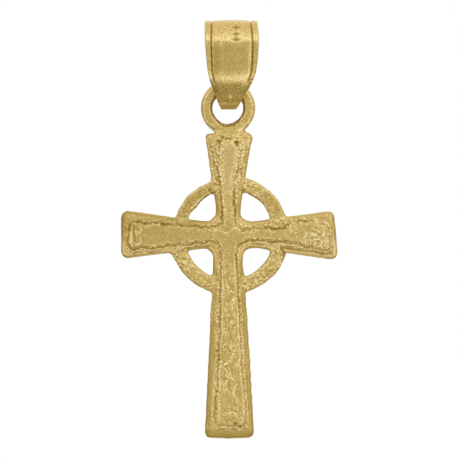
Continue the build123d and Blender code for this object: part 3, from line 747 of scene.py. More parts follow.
# The skirt: rows round every outline, from the edge of the front over the side to the edge of the back.
# Each row of the plate has its distance in from the outline and its place on the side, 0 front to 1 back.
# On the wire the same rows follow its round.
skirt_rows = [(skirt_width, 0.0), (0.055, 0.0), (0.015, 0.0), (0.0, 0.0), (0.0, 0.17), (0.0, 0.34),
              (0.0, 0.50), (0.0, 0.66), (0.0, 0.83), (0.006, 1.0), (0.028, 1.0), (0.066, 1.0),
              (skirt_width, 1.0)]
wire_masks_from = 0.3            # the wire has the back's masks from this place on its side
# The plain front gets a little painted highlight and wear
front_masks = {"crease": 0.0, "grain": 0.0, "curl": 0.0, "ground": 0.9, "rub": 0.2, "streak": 0.0}
masks = {name: [] for name in front_masks}
vertices = []
row_starts = []
on_wire = smooth_step(*wire_turn, outline_points[:, 1])
bulge = np.clip(bulge_beside(outline_points), 0, front_taper_most) * (1 - on_wire)
front_edge = front_relief(outline_points, 0 * bulge)
back_edge, _ = back_relief(outline_points, 0 * bulge)
wire_angle = np.arccos(1 - skirt_width / wire_half)
for (plate_in, side_share), angle in zip(skirt_rows, np.linspace(-wire_angle, wire_angle, len(skirt_rows))):
    inward = blend(plate_in, wire_half * (1 - cos(angle)), on_wire)
    tapered = front_taper * (1 - side_share) * bulge
    place = outline_points - outline_normals * (inward + tapered)[:, None]
    back, found = back_relief(place, inward)
    y = blend(front_edge, -back_edge, side_share)
    if side_share in (0, 1):
        y = front_relief(place, inward) if side_share == 0 else -back
    if plate_in < skirt_width:
        y = blend(y, -wire_half * sin(angle), on_wire)
    row_starts.append(len(vertices))
    vertices += np.column_stack([place[:, 0], y, place[:, 1]]).tolist()
    from_back = np.maximum(on_wire * (side_share > wire_masks_from), np.clip(2 * side_share - 1, 0, 1))
    for name, plain in front_masks.items():
        masks[name] += blend(plain, found[name], from_back).tolist()

outline_edges = []
for first, last in zip(outline_starts, outline_starts[1:]):
    outline_edges += [(index, index + 1 if index + 1 < last else first) for index in range(first, last)]
faces = []
for low_row, high_row in zip(row_starts, row_starts[1:]):
    faces += [(low_row + i, low_row + j, high_row + j, high_row + i) for i, j in outline_edges]


def fill_face(row_start, step, back):
    """Fills one face of the cross, inside a row of the skirt, with an even mesh of triangles."""
    low, high = outline_points.min(0), outline_points.max(0)
    rows = np.arange(low[1], high[1], step * sqrt(3) / 2)
    x, z = np.meshgrid(np.arange(low[0], high[0], step), rows)
    x = x + (np.arange(len(rows)) % 2)[:, None] * step / 2
    grid = np.column_stack([x.ravel(), z.ravel()])
    nearest = np.array([finder.find((x, z, 0))[1] for x, z in grid])
    gap = grid - outline_points[nearest]
    within = (gap * outline_normals[nearest]).sum(1) < 0
    inward = np.where(within, 1, -1) * np.hypot(*gap.T)
    clear = inward > skirt_width + clear_of_skirt * step
    grid, inward = grid[clear], inward[clear]

    rim = np.array(vertices[row_start:row_start + len(outline_points)])[:, [0, 2]]
    points = np.vstack([rim, grid])
    filled = delaunay_2d_cdt([Vector(p) for p in points.tolist()], outline_edges, [], 0, 1e-7)
    corners, triangles = np.array(filled[0]), np.array(filled[2])
    assert len(corners) == len(points)
    on_rim = (triangles < len(rim)).all(1)
    middles = corners[triangles[on_rim]].mean(1)
    inside = np.zeros(len(middles), bool)
    for first, last in zip(outline_starts, outline_starts[1:]):
        inside ^= inside_outline(middles, rim[first:last])
    kept = np.vstack([triangles[~on_rim], triangles[on_rim][inside]])
    numbers = np.concatenate([np.arange(len(rim)) + row_start, np.arange(len(grid)) + len(vertices)])
    faces.extend(numbers[kept if back else kept[:, ::-1]].tolist())

    if back:
        height, found = back_relief(grid, inward)
    else:
        height = -front_relief(grid, inward)
        found = {name: 0 * height + plain for name, plain in front_masks.items()}
    vertices.extend(np.column_stack([grid[:, 0], -height, grid[:, 1]]).tolist())
    for name, values in found.items():
        masks[name] += values.tolist()


def mesh_with_values(name, places, faces, values):
    """A mesh whose points carry named numbers or vectors, which node trees read. Places are in mm."""
    mesh = bpy.data.meshes.new(name)
    mesh.from_pydata((np.array(places) * MM).tolist(), [], faces)
    for value_name, column in values.items():
        column = np.array(column, np.float32)
        is_vector = column.ndim == 2
        attribute = mesh.attributes.new(value_name, "FLOAT_VECTOR" if is_vector else "FLOAT", "POINT")
        attribute.data.foreach_set("vector" if is_vector else "value", column.ravel())
    return mesh


fill_face(row_starts[-1], back_step, True)
fill_face(row_starts[0], front_step, False)
cross_mesh = mesh_with_values("cross_casting", vertices, faces, masks)
cross_mesh.polygons.foreach_set("use_smooth", [True] * len(cross_mesh.polygons))
cross_mesh.validate()


class Flow:
    """A value that runs through a node tree. Sums and products of it become nodes of the tree."""

    def __init__(self, tree, socket):
        self.tree, self.socket = tree, socket

    def math(self, operation, other=0.0):
        """A math node of this value and another."""
        node = add_node(self.tree, "ShaderNodeMath", {0: self, 1: other}, operation=operation)
        return Flow(self.tree, node.outputs[0])

    def vector(self, operation, other=None, scale=None):
        """A vector math node of this value and another, or of this value and a scale."""
        inputs = {0: self}
        if other is not None:
            inputs[1] = other
        if scale is not None:
            inputs["Scale"] = scale
        node = add_node(self.tree, "ShaderNodeVectorMath", inputs, operation=operation)
        gives_number = operation in ("LENGTH", "DOT_PRODUCT")
        return Flow(self.tree, node.outputs["Value" if gives_number else "Vector"])

    def parts(self):
        """The vector's X, Y and Z."""
        node = add_node(self.tree, "ShaderNodeSeparateXYZ", {0: self})
        return [Flow(self.tree, output) for output in node.outputs]

    def __add__(self, other):
        return self.math("ADD", other)

    def __sub__(self, other):
        return self.math("SUBTRACT", other)

    def __mul__(self, other):
        return self.math("MULTIPLY", other)

    def __truediv__(self, other):
        return self.math("DIVIDE", other)

    def __rsub__(self, other):
        node = add_node(self.tree, "ShaderNodeMath", {0: other, 1: self}, operation="SUBTRACT")
        return Flow(self.tree, node.outputs[0])

    def __rtruediv__(self, other):
        node = add_node(self.tree, "ShaderNodeMath", {0: other, 1: self}, operation="DIVIDE")
        return Flow(self.tree, node.outputs[0])

    def __abs__(self):
        return self.math("ABSOLUTE")


def add_node(tree, kind, inputs=None, **settings):
    """One node. A number, colour or vector sets the named input, and a flow or socket is linked to it."""
    node = tree.nodes.new(kind)
    for name, value in settings.items():
        setattr(node, name, value)
    for name, value in (inputs or {}).items():
        value = value.socket if isinstance(value, Flow) else value
        if isinstance(value, bpy.types.NodeSocket):
            tree.links.new(value, node.inputs[name])
        else:
            node.inputs[name].default_value = value
    return node


def flow_from(tree, kind, inputs=None, output=0, **settings):
    """What comes out of one new node."""
    return Flow(tree, add_node(tree, kind, inputs, **settings).outputs[output])


def noise(place, size, finer=1.0, **inputs):
    """Noise with bumps of about the given size, made finer by a factor. It runs from 0 to 1."""
    return flow_from(place.tree, "ShaderNodeTexNoise", {"Vector": place, "Scale": finer / size, **inputs})


def ranged(value, low, high, to_low=0.0, to_high=1.0, interpolation="LINEAR"):
    """to_low where the value is low, to_high where it is high, and even between them."""
    return flow_from(value.tree, "ShaderNodeMapRange", {
        "Value": value, "From Min": low, "From Max": high, "To Min": to_low, "To Max": to_high},
        interpolation_type=interpolation)


def mixed(share, first, second):
    """The first number where the share is 0 and the second where it is 1."""
    return flow_from(share.tree, "ShaderNodeMix", {"Factor": share, 2: first, 3: second}, data_type="FLOAT")


def mixed_colour(share, first, second, **settings):
    """The first colour where the share is 0 and the second where it is 1."""
    return flow_from(share.tree, "ShaderNodeMix", {"Factor": share, 6: first, 7: second}, output=2,
                     data_type="RGBA", **settings)


def node_group(name, kind, inputs, outputs):
    """An empty node group: its tree, what flows in by name, and its ends by name.

    Inputs are a name, a socket type and a value, and outputs a name and a socket type.
    """
    tree = bpy.data.node_groups.new(name, kind)
    for socket_name, socket_type, value in inputs:
        socket_type = "NodeSocket" + socket_type
        socket = tree.interface.new_socket(socket_name, in_out="INPUT", socket_type=socket_type)
        if value is not None:
            socket.default_value = value
    for socket_name, socket_type in outputs:
        tree.interface.new_socket(socket_name, in_out="OUTPUT", socket_type="NodeSocket" + socket_type)
    start = tree.nodes.new("NodeGroupInput")
    end = tree.nodes.new("NodeGroupOutput")
    return tree, {socket.name: Flow(tree, socket) for socket in start.outputs}, end.inputs


def mask(tree, name):
    """A named mask that the mesh carries, for a Geometry Nodes tree."""
    return flow_from(tree, "GeometryNodeInputNamedAttribute", {"Name": name}, "Attribute", data_type="FLOAT")


def store_mask(geometry, name, value):
    """The mesh with the named mask set to the value."""
    return flow_from(geometry.tree, "GeometryNodeStoreNamedAttribute", {
        "Geometry": geometry, "Name": name, "Value": value}, data_type="FLOAT", domain="POINT")


def finished_mesh(tree, start_mesh, values, name):
    """The plain mesh that a Geometry Nodes tree makes of the start mesh with these named values."""
    carrier = bpy.data.objects.new(name + "_work", start_mesh)
    bpy.context.scene.collection.objects.link(carrier)
    modifier = carrier.modifiers.new(tree.name, "NODES")
    modifier.node_group = tree
    for item in tree.interface.items_tree:
        if item.item_type == "SOCKET" and item.in_out == "INPUT" and item.name in values:
            modifier[item.identifier] = values[item.name]
    graph = bpy.context.evaluated_depsgraph_get()
    mesh = bpy.data.meshes.new_from_object(carrier.evaluated_get(graph), depsgraph=graph)
    mesh.name = name
    bpy.data.objects.remove(carrier)
    return mesh


# Cast skin: the grain that the mould left, with coarser curled flow marks where the strip is rough.
# Both run longer along the lower arm.
lower_grain_stretch = (1.0, 1.0, 0.38)
lower_grain_finer = 1.2
lower_curl_stretch = (1.0, 1.0, 0.5)
lower_curl_finer = 1.7
curl_twist = 0.9
grain_tops = (0.52, 0.64)        # levels of the grain's noise from which it gets painted highlight, and the full painted highlight
grain_hollows = (0.47, 0.36)     # and from which it gets painted shade
curl_tops = (0.036, 0.008)       # the same for the distance from a curl's middle
curl_side = 0.080                # painted shade lies this far beside a curl's middle
curl_side_half = 0.035
bright_curl_share = 2.0

cast_skin, given, result = node_group(
    "cast_skin", "GeometryNodeTree",
    [("Casting", "Geometry", None), ("Grain height", "Float", 0.0), ("Grain size", "Float", 1.0),
     ("Curl height", "Float", 0.0), ("Curl size", "Float", 1.0), ("Curl half width", "Float", 0.10),
     ("Bright share", "Float", 0.5), ("Dark share", "Float", 0.5), ("Metal", "Material", None)],
    [("Casting", "Geometry")])
place = flow_from(cast_skin, "GeometryNodeInputPosition")
normal = flow_from(cast_skin, "GeometryNodeInputNormal")
streak = mask(cast_skin, "streak")
grain = mixed(streak, noise(place, given["Grain size"], Detail=1.0),
              noise(place.vector("MULTIPLY", lower_grain_stretch), given["Grain size"], lower_grain_finer,
                    Detail=1.0))
curl = mixed(streak, noise(place, given["Curl size"], Detail=0.0, Distortion=curl_twist),
             noise(place.vector("MULTIPLY", lower_curl_stretch), given["Curl size"], lower_curl_finer,
                   Detail=0.0, Distortion=curl_twist))
from_curl = abs(curl - 0.5)
grain_lift = (grain - 0.5) * given["Grain height"] * mask(cast_skin, "grain")
curl_lift = (given["Curl half width"] - from_curl).math("MAXIMUM", 0.0)
curl_lift = curl_lift * given["Curl height"] * mask(cast_skin, "curl")
lift = normal.vector("SCALE", scale=grain_lift + curl_lift)
lifted = flow_from(cast_skin, "GeometryNodeSetPosition", {"Geometry": given["Casting"], "Offset": lift})

# Painted highlights on the tops of the grain and of the curls, and painted shade low beside them
bright_grain = ranged(grain, *grain_tops) * mask(cast_skin, "grain") * given["Bright share"]
bright_curl = ranged(from_curl, *curl_tops) * mask(cast_skin, "curl") * bright_curl_share
dark_grain = ranged(grain, *grain_hollows) * mask(cast_skin, "grain") * given["Dark share"]
dark_curl = ranged(abs(from_curl - curl_side), curl_side_half, 0.0) * mask(cast_skin, "curl")
bright_tops = (bright_grain + bright_curl).math("MAXIMUM", mask(cast_skin, "rub"))
dark = (dark_grain + dark_curl).math("MAXIMUM", mask(cast_skin, "crease"))
masked = store_mask(store_mask(lifted, "rub", bright_tops), "crease", dark)
real = flow_from(cast_skin, "GeometryNodeRealizeInstances", {"Geometry": masked})
dressed = flow_from(cast_skin, "GeometryNodeSetMaterial", {"Geometry": real, "Material": given["Metal"]})
cast_skin.links.new(dressed.socket, result["Casting"])

# Gold tone, shared by both golds: duller where it is as cast, paler under painted highlight and wear, darker
# under painted shade and other darkening
gold_tone, given, result = node_group(
    "gold_tone", "ShaderNodeTree",
    [("Clean", "Color", (0.8, 0.6, 0.25, 1)), ("Cast", "Color", (0.7, 0.5, 0.16, 1)),
     ("Creased", "Color", (0.5, 0.3, 0.08, 1)), ("Bright colour", "Color", (0.9, 0.75, 0.45, 1)),
     ("Ground", "Float", 1.0), ("Crease", "Float", 0.0), ("Highlight and wear", "Float", 0.0),
     ("Patch size", "Float", 0.001), ("Patch strength", "Float", 0.1), ("Speck size", "Float", 0.0001),
     ("Speck strength", "Float", 0.0), ("Speck stretch", "Vector", (1.0, 1.0, 1.0))],
    [("Colour", "Color")])
place = flow_from(gold_tone, "ShaderNodeTexCoord", output="Object")
patch = (noise(place, given["Patch size"], Detail=3.0) - 0.5) * given["Patch strength"]
speck_place = place.vector("MULTIPLY", given["Speck stretch"])
speck = (noise(speck_place, given["Speck size"], Detail=1.0) - 0.5) * given["Speck strength"]
bright = flow_from(gold_tone, "ShaderNodeClamp", {0: given["Highlight and wear"] + speck})
dark = flow_from(gold_tone, "ShaderNodeClamp", {0: given["Crease"] + patch, "Max": darkest})
dark = dark.math("MAXIMUM", speck * (given["Highlight and wear"] * 0.8 - 1.0))
plain = mixed_colour(given["Ground"], given["Cast"], given["Clean"])
pale = mixed_colour(bright, plain, given["Bright colour"])
toned = mixed_colour(dark, pale, given["Creased"], clamp_factor=False)
gold_tone.links.new(toned.socket, result["Colour"])

# Fine marks, shared by both golds: short scratches along one direction and small grain, as a height
fine_marks, given, result = node_group(
    "fine_marks", "ShaderNodeTree",
    [("Stretch", "Vector", (1.0, 1.0, 1.0)), ("Size", "Float", 0.0001), ("Grain size", "Float", 0.00005),
     ("Grain share", "Float", 0.5)],
    [("Height", "Float")])
place = flow_from(fine_marks, "ShaderNodeTexCoord", output="Object")
scratches = noise(place.vector("MULTIPLY", given["Stretch"]), given["Size"], Detail=3.0)
height = mixed(given["Grain share"], scratches, noise(place, given["Grain size"], Detail=2.0))
fine_marks.links.new(height.socket, result["Height"])

bounce_colour = (0.74, 0.64, 0.40, 1)


def painted(tree, name):
    """A named mask that the mesh carries, for a material."""
    return flow_from(tree, "ShaderNodeAttribute", output="Fac", attribute_name=name)


def new_gold(name):
    """A gold without its colour and surface: the material, its node tree and its metal."""
    gold = bpy.data.materials.new(name)
    gold.use_nodes = True
    metal = gold.node_tree.nodes["Principled BSDF"]
    metal.inputs["Metallic"].default_value = 1.0
    return gold, gold.node_tree, metal


def dress_gold(tree, metal, tone_values, mark_values, bump_values):
    """Gives a gold its tone and its fine marks. What it mirrors of itself is one even gold."""
    tone_values = {"Crease": painted(tree, "crease"), "Highlight and wear": painted(tree, "rub"), **tone_values}
    colour = flow_from(tree, "ShaderNodeGroup", tone_values, node_tree=gold_tone)
    bounced = flow_from(tree, "ShaderNodeLightPath", output="Is Glossy Ray")
    tree.links.new(mixed_colour(bounced, colour, bounce_colour).socket, metal.inputs["Base Color"])
    marks_height = flow_from(tree, "ShaderNodeGroup", mark_values, node_tree=fine_marks)
    bump = add_node(tree, "ShaderNodeBump", {"Height": marks_height, **bump_values})
    tree.links.new(bump.outputs[0], metal.inputs["Normal"])


cast_gold, tree, metal = new_gold("cast_gold")
# The creased colour paints shade, and the pale colour paints highlight and wear
dress_gold(
    tree, metal,
    {"Clean": (0.735, 0.519, 0.157, 1), "Cast": (0.665, 0.464, 0.135, 1),
     "Creased": (0.42, 0.285, 0.060, 1), "Bright colour": (1.0, 0.79, 0.37, 1),
     "Ground": painted(tree, "ground"), "Patch size": 0.9 * MM, "Patch strength": 0.25,
     "Speck size": 0.12 * MM,
     "Speck strength": ranged(painted(tree, "grain"), 0.0, 0.8, 0.8, 3.9)},
    {"Stretch": (1.0, 1.0, 0.25), "Size": 0.08 * MM, "Grain size": 0.07 * MM, "Grain share": 0.6},
    {"Strength": 0.5, "Distance": 0.02 * MM})
sheen = ranged(painted(tree, "ground"), 0.0, 1.0, 0.27, 0.33) - painted(tree, "rub") * 0.07
tree.links.new(sheen.socket, metal.inputs["Roughness"])

skin_values = {"Grain height": 0.24 * MM, "Grain size": 0.20 * MM, "Curl height": 0.46 * MM,
               "Curl size": 0.80 * MM, "Curl half width": 0.10, "Bright share": 0.95, "Dark share": 0.65,
               "Metal": cast_gold}
cross_finished = finished_mesh(cast_skin, cross_mesh, skin_values, "cross_casting")
cross = bpy.data.objects.new("cross_casting", cross_finished)
bpy.context.scene.collection.objects.link(cross)
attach(cross, "cross")
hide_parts("celtic_cross")

# Bail: a tapered gold strap folded over the chain and closed at its foot round the loop, with a rim
# along each side, cut by a groove. Its face is brushed, a row of plain lozenges is struck into it
# below the crown, and a small drop of solder shows at the foot.
strap_thickness = 0.50
bail_depth = 3.40
foot_z = -6.05
saddle_z = -5.38
crown_lift = 0.06                # the crown is a little thicker than the legs
foot_radius = 1.18
saddle_radius = 0.66
leg_lean = radians(22.0)
outer_bend_radius = 2.60
inner_bend_radius = 0.70
taper_z = -3.855                 # the strap narrows faster below this height
# The strap's side edges: height, left and right
bail_edges = [(0.60, -1.81, 2.09), (-0.80, -1.80, 2.22), (-2.36, -1.68, 2.13), (taper_z, -1.51, 1.90),
              (-6.10, -0.60, 0.52)]
# Height and width of the rims, from the foot up. The grooves fade out between the two groove heights.
rim_widths = [(foot_z, 0.24), (taper_z, 0.32), (strap_thickness, 0.54)]
groove_end_z = -4.40
groove_top_z = -3.60
# Shares of painted shade in the creased colour: the foot, the straight leg, the left of the face, the lower
# side edges, the rims' dents and the rounded edges; and how dark the solder's seam is
foot_shade = 0.56
foot_bend_less = 0.7             # less at the bright bend above the foot
leg_shade = 0.28
left_shade = 0.3
lower_edge_shade = 0.6
dent_shade = 0.8
edge_shade = 0.7
seam_dark = 0.8
# Shares of painted highlight in the pale colour: the bends, and along the leg the groove's side and the left
# rim
bend_highlight = 0.60
groove_side_highlight = 2.2
left_rim_highlight = 1.3
# Places across the face, from 0 at the left edge to 1 at the right
groove_side_turn = (0.79, 0.99)
left_shade_turn = (0.42, 0.10)
streak_half = 0.065
# Points along one half of the folded strap: crown, leg, bend, leaning leg and half of the foot
fold_counts = (44, 36, 12, 28, 26)
rounding_steps = 5
side_steps = 4
inner_steps = 20


def fold_half(half, top, bottom, bottom_radius, bend_radius):
    """Side view of one surface of the strap, from the crown down the back to the middle of the foot."""
    crown, leg, bend, lean, foot = fold_counts
    spring_z = top - half
    bend_z = bottom - bottom_radius * (1 / sin(leg_lean) - 1) + half / tan(leg_lean)
    tangent = bend_radius * tan(leg_lean / 2)
    line = []

    def arc(centre_y, centre_z, radius, first, last, count):
        for angle in np.linspace(first, last, count, endpoint=False):
            line.append((centre_y + radius * cos(angle), centre_z + radius * sin(angle)))

    def straight(start, end, count):
        line.extend(np.column_stack([np.linspace(s, e, count, endpoint=False) for s, e in zip(start, end)]))

    arc(0, spring_z, half, pi / 2, pi, crown)
    straight((-half, spring_z), (-half, bend_z + tangent), leg)
    arc(bend_radius - half, bend_z + tangent, bend_radius, pi, pi + leg_lean, bend)
    knee = (bend_radius - half - bend_radius * cos(leg_lean), bend_z + tangent - bend_radius * sin(leg_lean))
    foot_centre = bottom + bottom_radius
    straight(knee, (-bottom_radius * cos(leg_lean), foot_centre - bottom_radius * sin(leg_lean)), lean)
    arc(0, foot_centre, bottom_radius, pi + leg_lean, 1.5 * pi, foot)
    line.append((0, bottom))
    return np.array(line)


def closed_fold(half_line):
    """The whole closed line, with the front half as the mirror of the back half."""
    return np.vstack([half_line, half_line[-2:0:-1] * (-1, 1)])


outer_fold = closed_fold(fold_half(
    bail_depth / 2, strap_thickness + crown_lift, foot_z, foot_radius, outer_bend_radius))
inner_fold = closed_fold(fold_half(
    bail_depth / 2 - strap_thickness, 0.0, saddle_z, saddle_radius, inner_bend_radius))
fold_z = outer_fold[:, 1]
edge_lines = [rounded_line([(z, row[side]) for z, *row in bail_edges], False, 3)[::-1] for side in (0, 1)]
# Painted shade along the strap: on the foot, less at the bend above it, and on the straight leg
darkening_along = foot_shade * smooth_step(-4.1, -5.3, fold_z)
darkening_along *= 1 - foot_bend_less * band(-4.85, -5.05, -5.25, -5.50, fold_z)
darkening_along += leg_shade * band(-1.1, -1.6, -2.9, -3.6, fold_z)
# The fold carries painted shade along the strap and painted highlights at its bends
fold_mesh = mesh_with_values("bail_fold", [(0, 0, 0)] * len(outer_fold), [], {
    "outer": np.column_stack([0 * fold_z, outer_fold]) * MM,
    "inner": np.column_stack([0 * fold_z, inner_fold]) * MM,
    "left": np.interp(fold_z, *edge_lines[0].T) * MM,
    "right": np.interp(fold_z, *edge_lines[1].T) * MM,
    "rim": np.interp(fold_z, *zip(*rim_widths)) * MM,
    "groove": smooth_step(groove_end_z, groove_top_z, fold_z),
    "crown": smooth_step(-0.9, 0.3, fold_z),
    "straight_leg": band(-1.0, -1.6, -3.9, -4.6, fold_z),
    "dull": darkening_along,
    "lower_edge": band(-3.75, -3.95, -4.7, -5.1, fold_z),
    "polish": bend_highlight * (bell(fold_z, -3.78, 0.42) + bell(fold_z, -0.98, 0.27))})

# The strap's cross-section, as corners with the number of steps to the next one. A corner has its place
# across the face (0 left, 1 right), how far in from the edge it lies in rim widths, groove widths and edge
# roundings, how deep between the outer (0) and the inner surface (1), and how far under the surface in
# roundings and groove depths.
section_values = ("across", "in_rims", "in_grooves", "in_rounds", "depth", "down_rounds", "down_grooves")
face_corners = [
    (14, (0, 0, 0, 1, 0, 0, 0)),
    (4, (0, 1, -0.5, 0, 0, 0, 0)),
    (4, (0, 1, -0.1, 0, 0, 0, 1)),
    (46, (0, 1, 0.5, 0, 0, 0, 0)),
    (4, (1, 1, 0.5, 0, 0, 0, 0)),
    (4, (1, 1, -0.1, 0, 0, 0, 1)),
    (14, (1, 1, -0.5, 0, 0, 0, 0)),
    (0, (1, 0, 0, 1, 0, 0, 0)),
]
section = []


def section_run(count, start, end):
    """Adds a straight run of points to the section, without its end."""
    section.extend(np.linspace(start, end, count, endpoint=False))


def section_rounding(side, depth, leaves_face):
    """Adds a rounded edge at the left (0) or right (1) side of the outer (0) or inner (1) surface."""
    for angle in np.linspace(0, pi / 2, rounding_steps, endpoint=False):
        first, second = (sin(angle), cos(angle)) if leaves_face else (cos(angle), sin(angle))
        section.append([side, 0, 0, 1 - first, depth, (1 - 2 * depth) * (1 - second), 0])


for (count, start), (_, end) in zip(face_corners, face_corners[1:]):
    section_run(count, start, end)
section_rounding(1, 0, True)
section_run(side_steps, (1, 0, 0, 0, 0, 1, 0), (1, 0, 0, 0, 1, -1, 0))
section_rounding(1, 1, False)
section_run(inner_steps, (1, 0, 0, 1, 1, 0, 0), (0, 0, 0, 1, 1, 0, 0))
section_rounding(0, 1, True)
section_run(side_steps, (0, 0, 0, 0, 1, -1, 0), (0, 0, 0, 0, 0, 1, 0))
section_rounding(0, 0, False)
section_mesh = mesh_with_values("bail_section", [(0, 0, 0)] * len(section), [],
                                dict(zip(section_values, np.array(section).T)))
section_object = bpy.data.objects.new("bail_section", section_mesh)

# Folded strap: a sheet with a row for each point of the fold and a column for each point of the section.
# Its last row and column lie on the first ones and are merged with them. The outer surface is then marked.
folded_strap, given, result = node_group(
    "folded_strap", "GeometryNodeTree",
    [("Fold", "Geometry", None), ("Section", "Object", None), ("Fold points", "Int", 10),
     ("Section points", "Int", 10), ("Groove width", "Float", 0.0), ("Groove depth", "Float", 0.0),
     ("Edge rounding", "Float", 0.0), ("Face waves", "Float", 0.0), ("Wave stretch", "Vector", (1, 1, 1)),
     ("Mark place", "Vector", (0, 0, 0)), ("Mark half width", "Float", 0.001),
     ("Mark half height", "Float", 0.001), ("Mark pitch", "Float", 0.001), ("Mark count", "Int", 1),
     ("Mark depth", "Float", 0.0), ("Drop place", "Vector", (0, 0, 0)), ("Drop size", "Vector", (1, 1, 1)),
     ("Drop height", "Float", 0.0), ("Crown swell", "Float", 0.0), ("Left rim wear", "Float", 0.5),
     ("Rim wear size", "Float", 0.001), ("Rim wear depth", "Float", 0.0), ("Side highlight", "Float", 0.0),
     ("Side fall", "Float", 0.0), ("Streak place", "Float", 0.5), ("Streak height", "Float", 0.0),
     ("Seam top", "Float", 0.0), ("Seam size", "Vector", (1, 1, 1)), ("Metal", "Material", None)],
    [("Strap", "Geometry")])
section_line = flow_from(folded_strap, "GeometryNodeObjectInfo", {"Object": given["Section"]}, "Geometry")
rows = given["Fold points"] + 1
columns = given["Section points"] + 1
sheet = flow_from(folded_strap, "GeometryNodeMeshGrid", {"Vertices X": rows, "Vertices Y": columns}, "Mesh")
number = flow_from(folded_strap, "GeometryNodeInputIndex")
row = (number / columns).math("FLOOR").math("MODULO", given["Fold points"])
column = number.math("MODULO", columns).math("MODULO", given["Section points"])


def read_at(line, index, name, kind):
    """The named value at one point of a line."""
    value = flow_from(folded_strap, "GeometryNodeInputNamedAttribute", {"Name": name}, "Attribute",
                      data_type=kind)
    return flow_from(folded_strap, "GeometryNodeSampleIndex", {
        "Geometry": line, "Value": value, "Index": index}, data_type=kind)


def on_fold(name, kind="FLOAT"):
    """The fold's named value at a point of the sheet."""
    return read_at(given["Fold"], row, name, kind)


def on_section(name):
    """The section's named value at a point of the sheet."""
    return read_at(section_line, column, name, "FLOAT")


def moved(place, direction, amount):
    """The place, moved along the direction by that many times its length."""
    return place.vector("ADD", direction.vector("SCALE", scale=amount))


across = on_section("across")
inset = (on_section("in_rims") * on_fold("rim") + on_section("in_grooves") * given["Groove width"]
         + on_section("in_rounds") * given["Edge rounding"])
left_x = on_fold("left") + inset
right_x = on_fold("right") - inset
x = left_x + across * (right_x - left_x)
outer_place = on_fold("outer", "FLOAT_VECTOR")
inward = on_fold("inner", "FLOAT_VECTOR").vector("SUBTRACT", outer_place)
inward_unit = inward.vector("NORMALIZE")
sunk = (on_section("down_rounds") * given["Edge rounding"]
        + on_section("down_grooves") * given["Groove depth"] * on_fold("groove"))
smooth_place = moved(moved(outer_place, inward, on_section("depth")), inward_unit, sunk)
smooth_place = smooth_place.vector("ADD", flow_from(folded_strap, "ShaderNodeCombineXYZ", {"X": x}))

# Where a point lies: on the back, on the outer surface, at the left or right edge, beside the right groove
_, back_y, back_z = smooth_place.parts()
back_side = back_y.math("LESS_THAN", 0.0)
outside = 1.0 - on_section("depth")
at_right = across.math("GREATER_THAN", 0.999)
at_left = across.math("LESS_THAN", 0.001)
straight_leg = on_fold("straight_leg")
beside_groove = ranged(across, *groove_side_turn) * (1.0 - at_right)
groove_wall = at_right * on_section("in_rims") * (on_section("in_grooves") + 0.5)

# Faint waves along the strap, a swell over the crown, a raised streak, and the fall beside the groove
waves = noise(smooth_place.vector("MULTIPLY", given["Wave stretch"]), 1.0, Detail=2.0)
wave_lift = (waves - 0.5) * given["Face waves"]
crown_swell = on_fold("crown") * (across * (1.0 - across) * 4.0) * given["Crown swell"]
streak = ranged(abs(across - given["Streak place"]), streak_half, 0.0)
side_fall = (beside_groove * beside_groove + groove_wall) * given["Side fall"]
side_lift = (streak * given["Streak height"] - side_fall) * straight_leg

# The struck lozenges, in a row along the strap, and the drop of solder with its seam
mark_x, _, mark_z = smooth_place.vector("SUBTRACT", given["Mark place"]).parts()
mark_number = (mark_z / given["Mark pitch"]).math("ROUND")
in_row = abs(mark_number).math("LESS_THAN", (given["Mark count"] - 1.0) / 2.0 + 0.5)
mark_z = mark_z - mark_number * given["Mark pitch"]
lozenge = abs(mark_x) / given["Mark half width"] + abs(mark_z) / given["Mark half height"]
struck = ranged(lozenge, 1.0, 0.6, interpolation="SMOOTHSTEP") * in_row * back_side
from_drop = smooth_place.vector("SUBTRACT", given["Drop place"])
drop_share = from_drop.vector("DIVIDE", given["Drop size"])
drop = (drop_share.vector("DOT_PRODUCT", drop_share) * -1.0).math("EXPONENT")
from_seam = abs(from_drop.vector("DIVIDE", given["Seam size"]).vector("LENGTH") - 1.0)
seam = ranged(from_seam, 0.20, 0.0) * back_side * seam_dark * back_z.math("LESS_THAN", given["Seam top"])

# Dents of wear along the rims
rim_dents = ranged(noise(smooth_place, given["Rim wear size"], Detail=1.0), 0.50, 0.66)
rim_dents = rim_dents * (at_right + at_left * given["Left rim wear"]) * outside * straight_leg

lift = (wave_lift - struck * given["Mark depth"] + drop * given["Drop height"] * back_side + crown_swell
        + side_lift - rim_dents * given["Rim wear depth"])
full_place = moved(smooth_place, inward_unit, lift * outside * -1.0)
shaped = flow_from(folded_strap, "GeometryNodeSetPosition", {"Geometry": sheet, "Position": full_place})

# Painted shade in the struck marks, dents and grooves, on the left side, the lower edges, the rounded edges
# and the shaded lengths, and the dark seam
in_groove = on_section("down_grooves") * on_fold("groove")
at_edge = (on_section("down_rounds") * outside).math("MAXIMUM", 0.0).math("SQRT")
left_side = ranged(across, *left_shade_turn) * (1.0 - at_left) * straight_leg
lower_edge = (at_left + at_right * 0.5) * on_fold("lower_edge")
darkened = (struck + seam + left_side * left_shade + lower_edge * lower_edge_shade + rim_dents * dent_shade
            + in_groove * darkest + at_edge * edge_shade + on_fold("dull"))
# Painted highlights: beside the right groove, on the left rim, on the streak, and at the bends
side_highlight = beside_groove * groove_side_highlight + at_left * left_rim_highlight + streak
side_highlight = side_highlight * straight_leg * given["Side highlight"]
masked = store_mask(store_mask(shaped, "crease", darkened), "rub", side_highlight + on_fold("polish"))
joined = flow_from(folded_strap, "GeometryNodeMergeByDistance", {"Geometry": masked, "Distance": 0.0005 * MM})
real = flow_from(folded_strap, "GeometryNodeRealizeInstances", {"Geometry": joined})
even = flow_from(folded_strap, "GeometryNodeSetShadeSmooth", {"Geometry": real})
dressed = flow_from(folded_strap, "GeometryNodeSetMaterial", {"Geometry": even, "Material": given["Metal"]})
folded_strap.links.new(dressed.socket, result["Strap"])

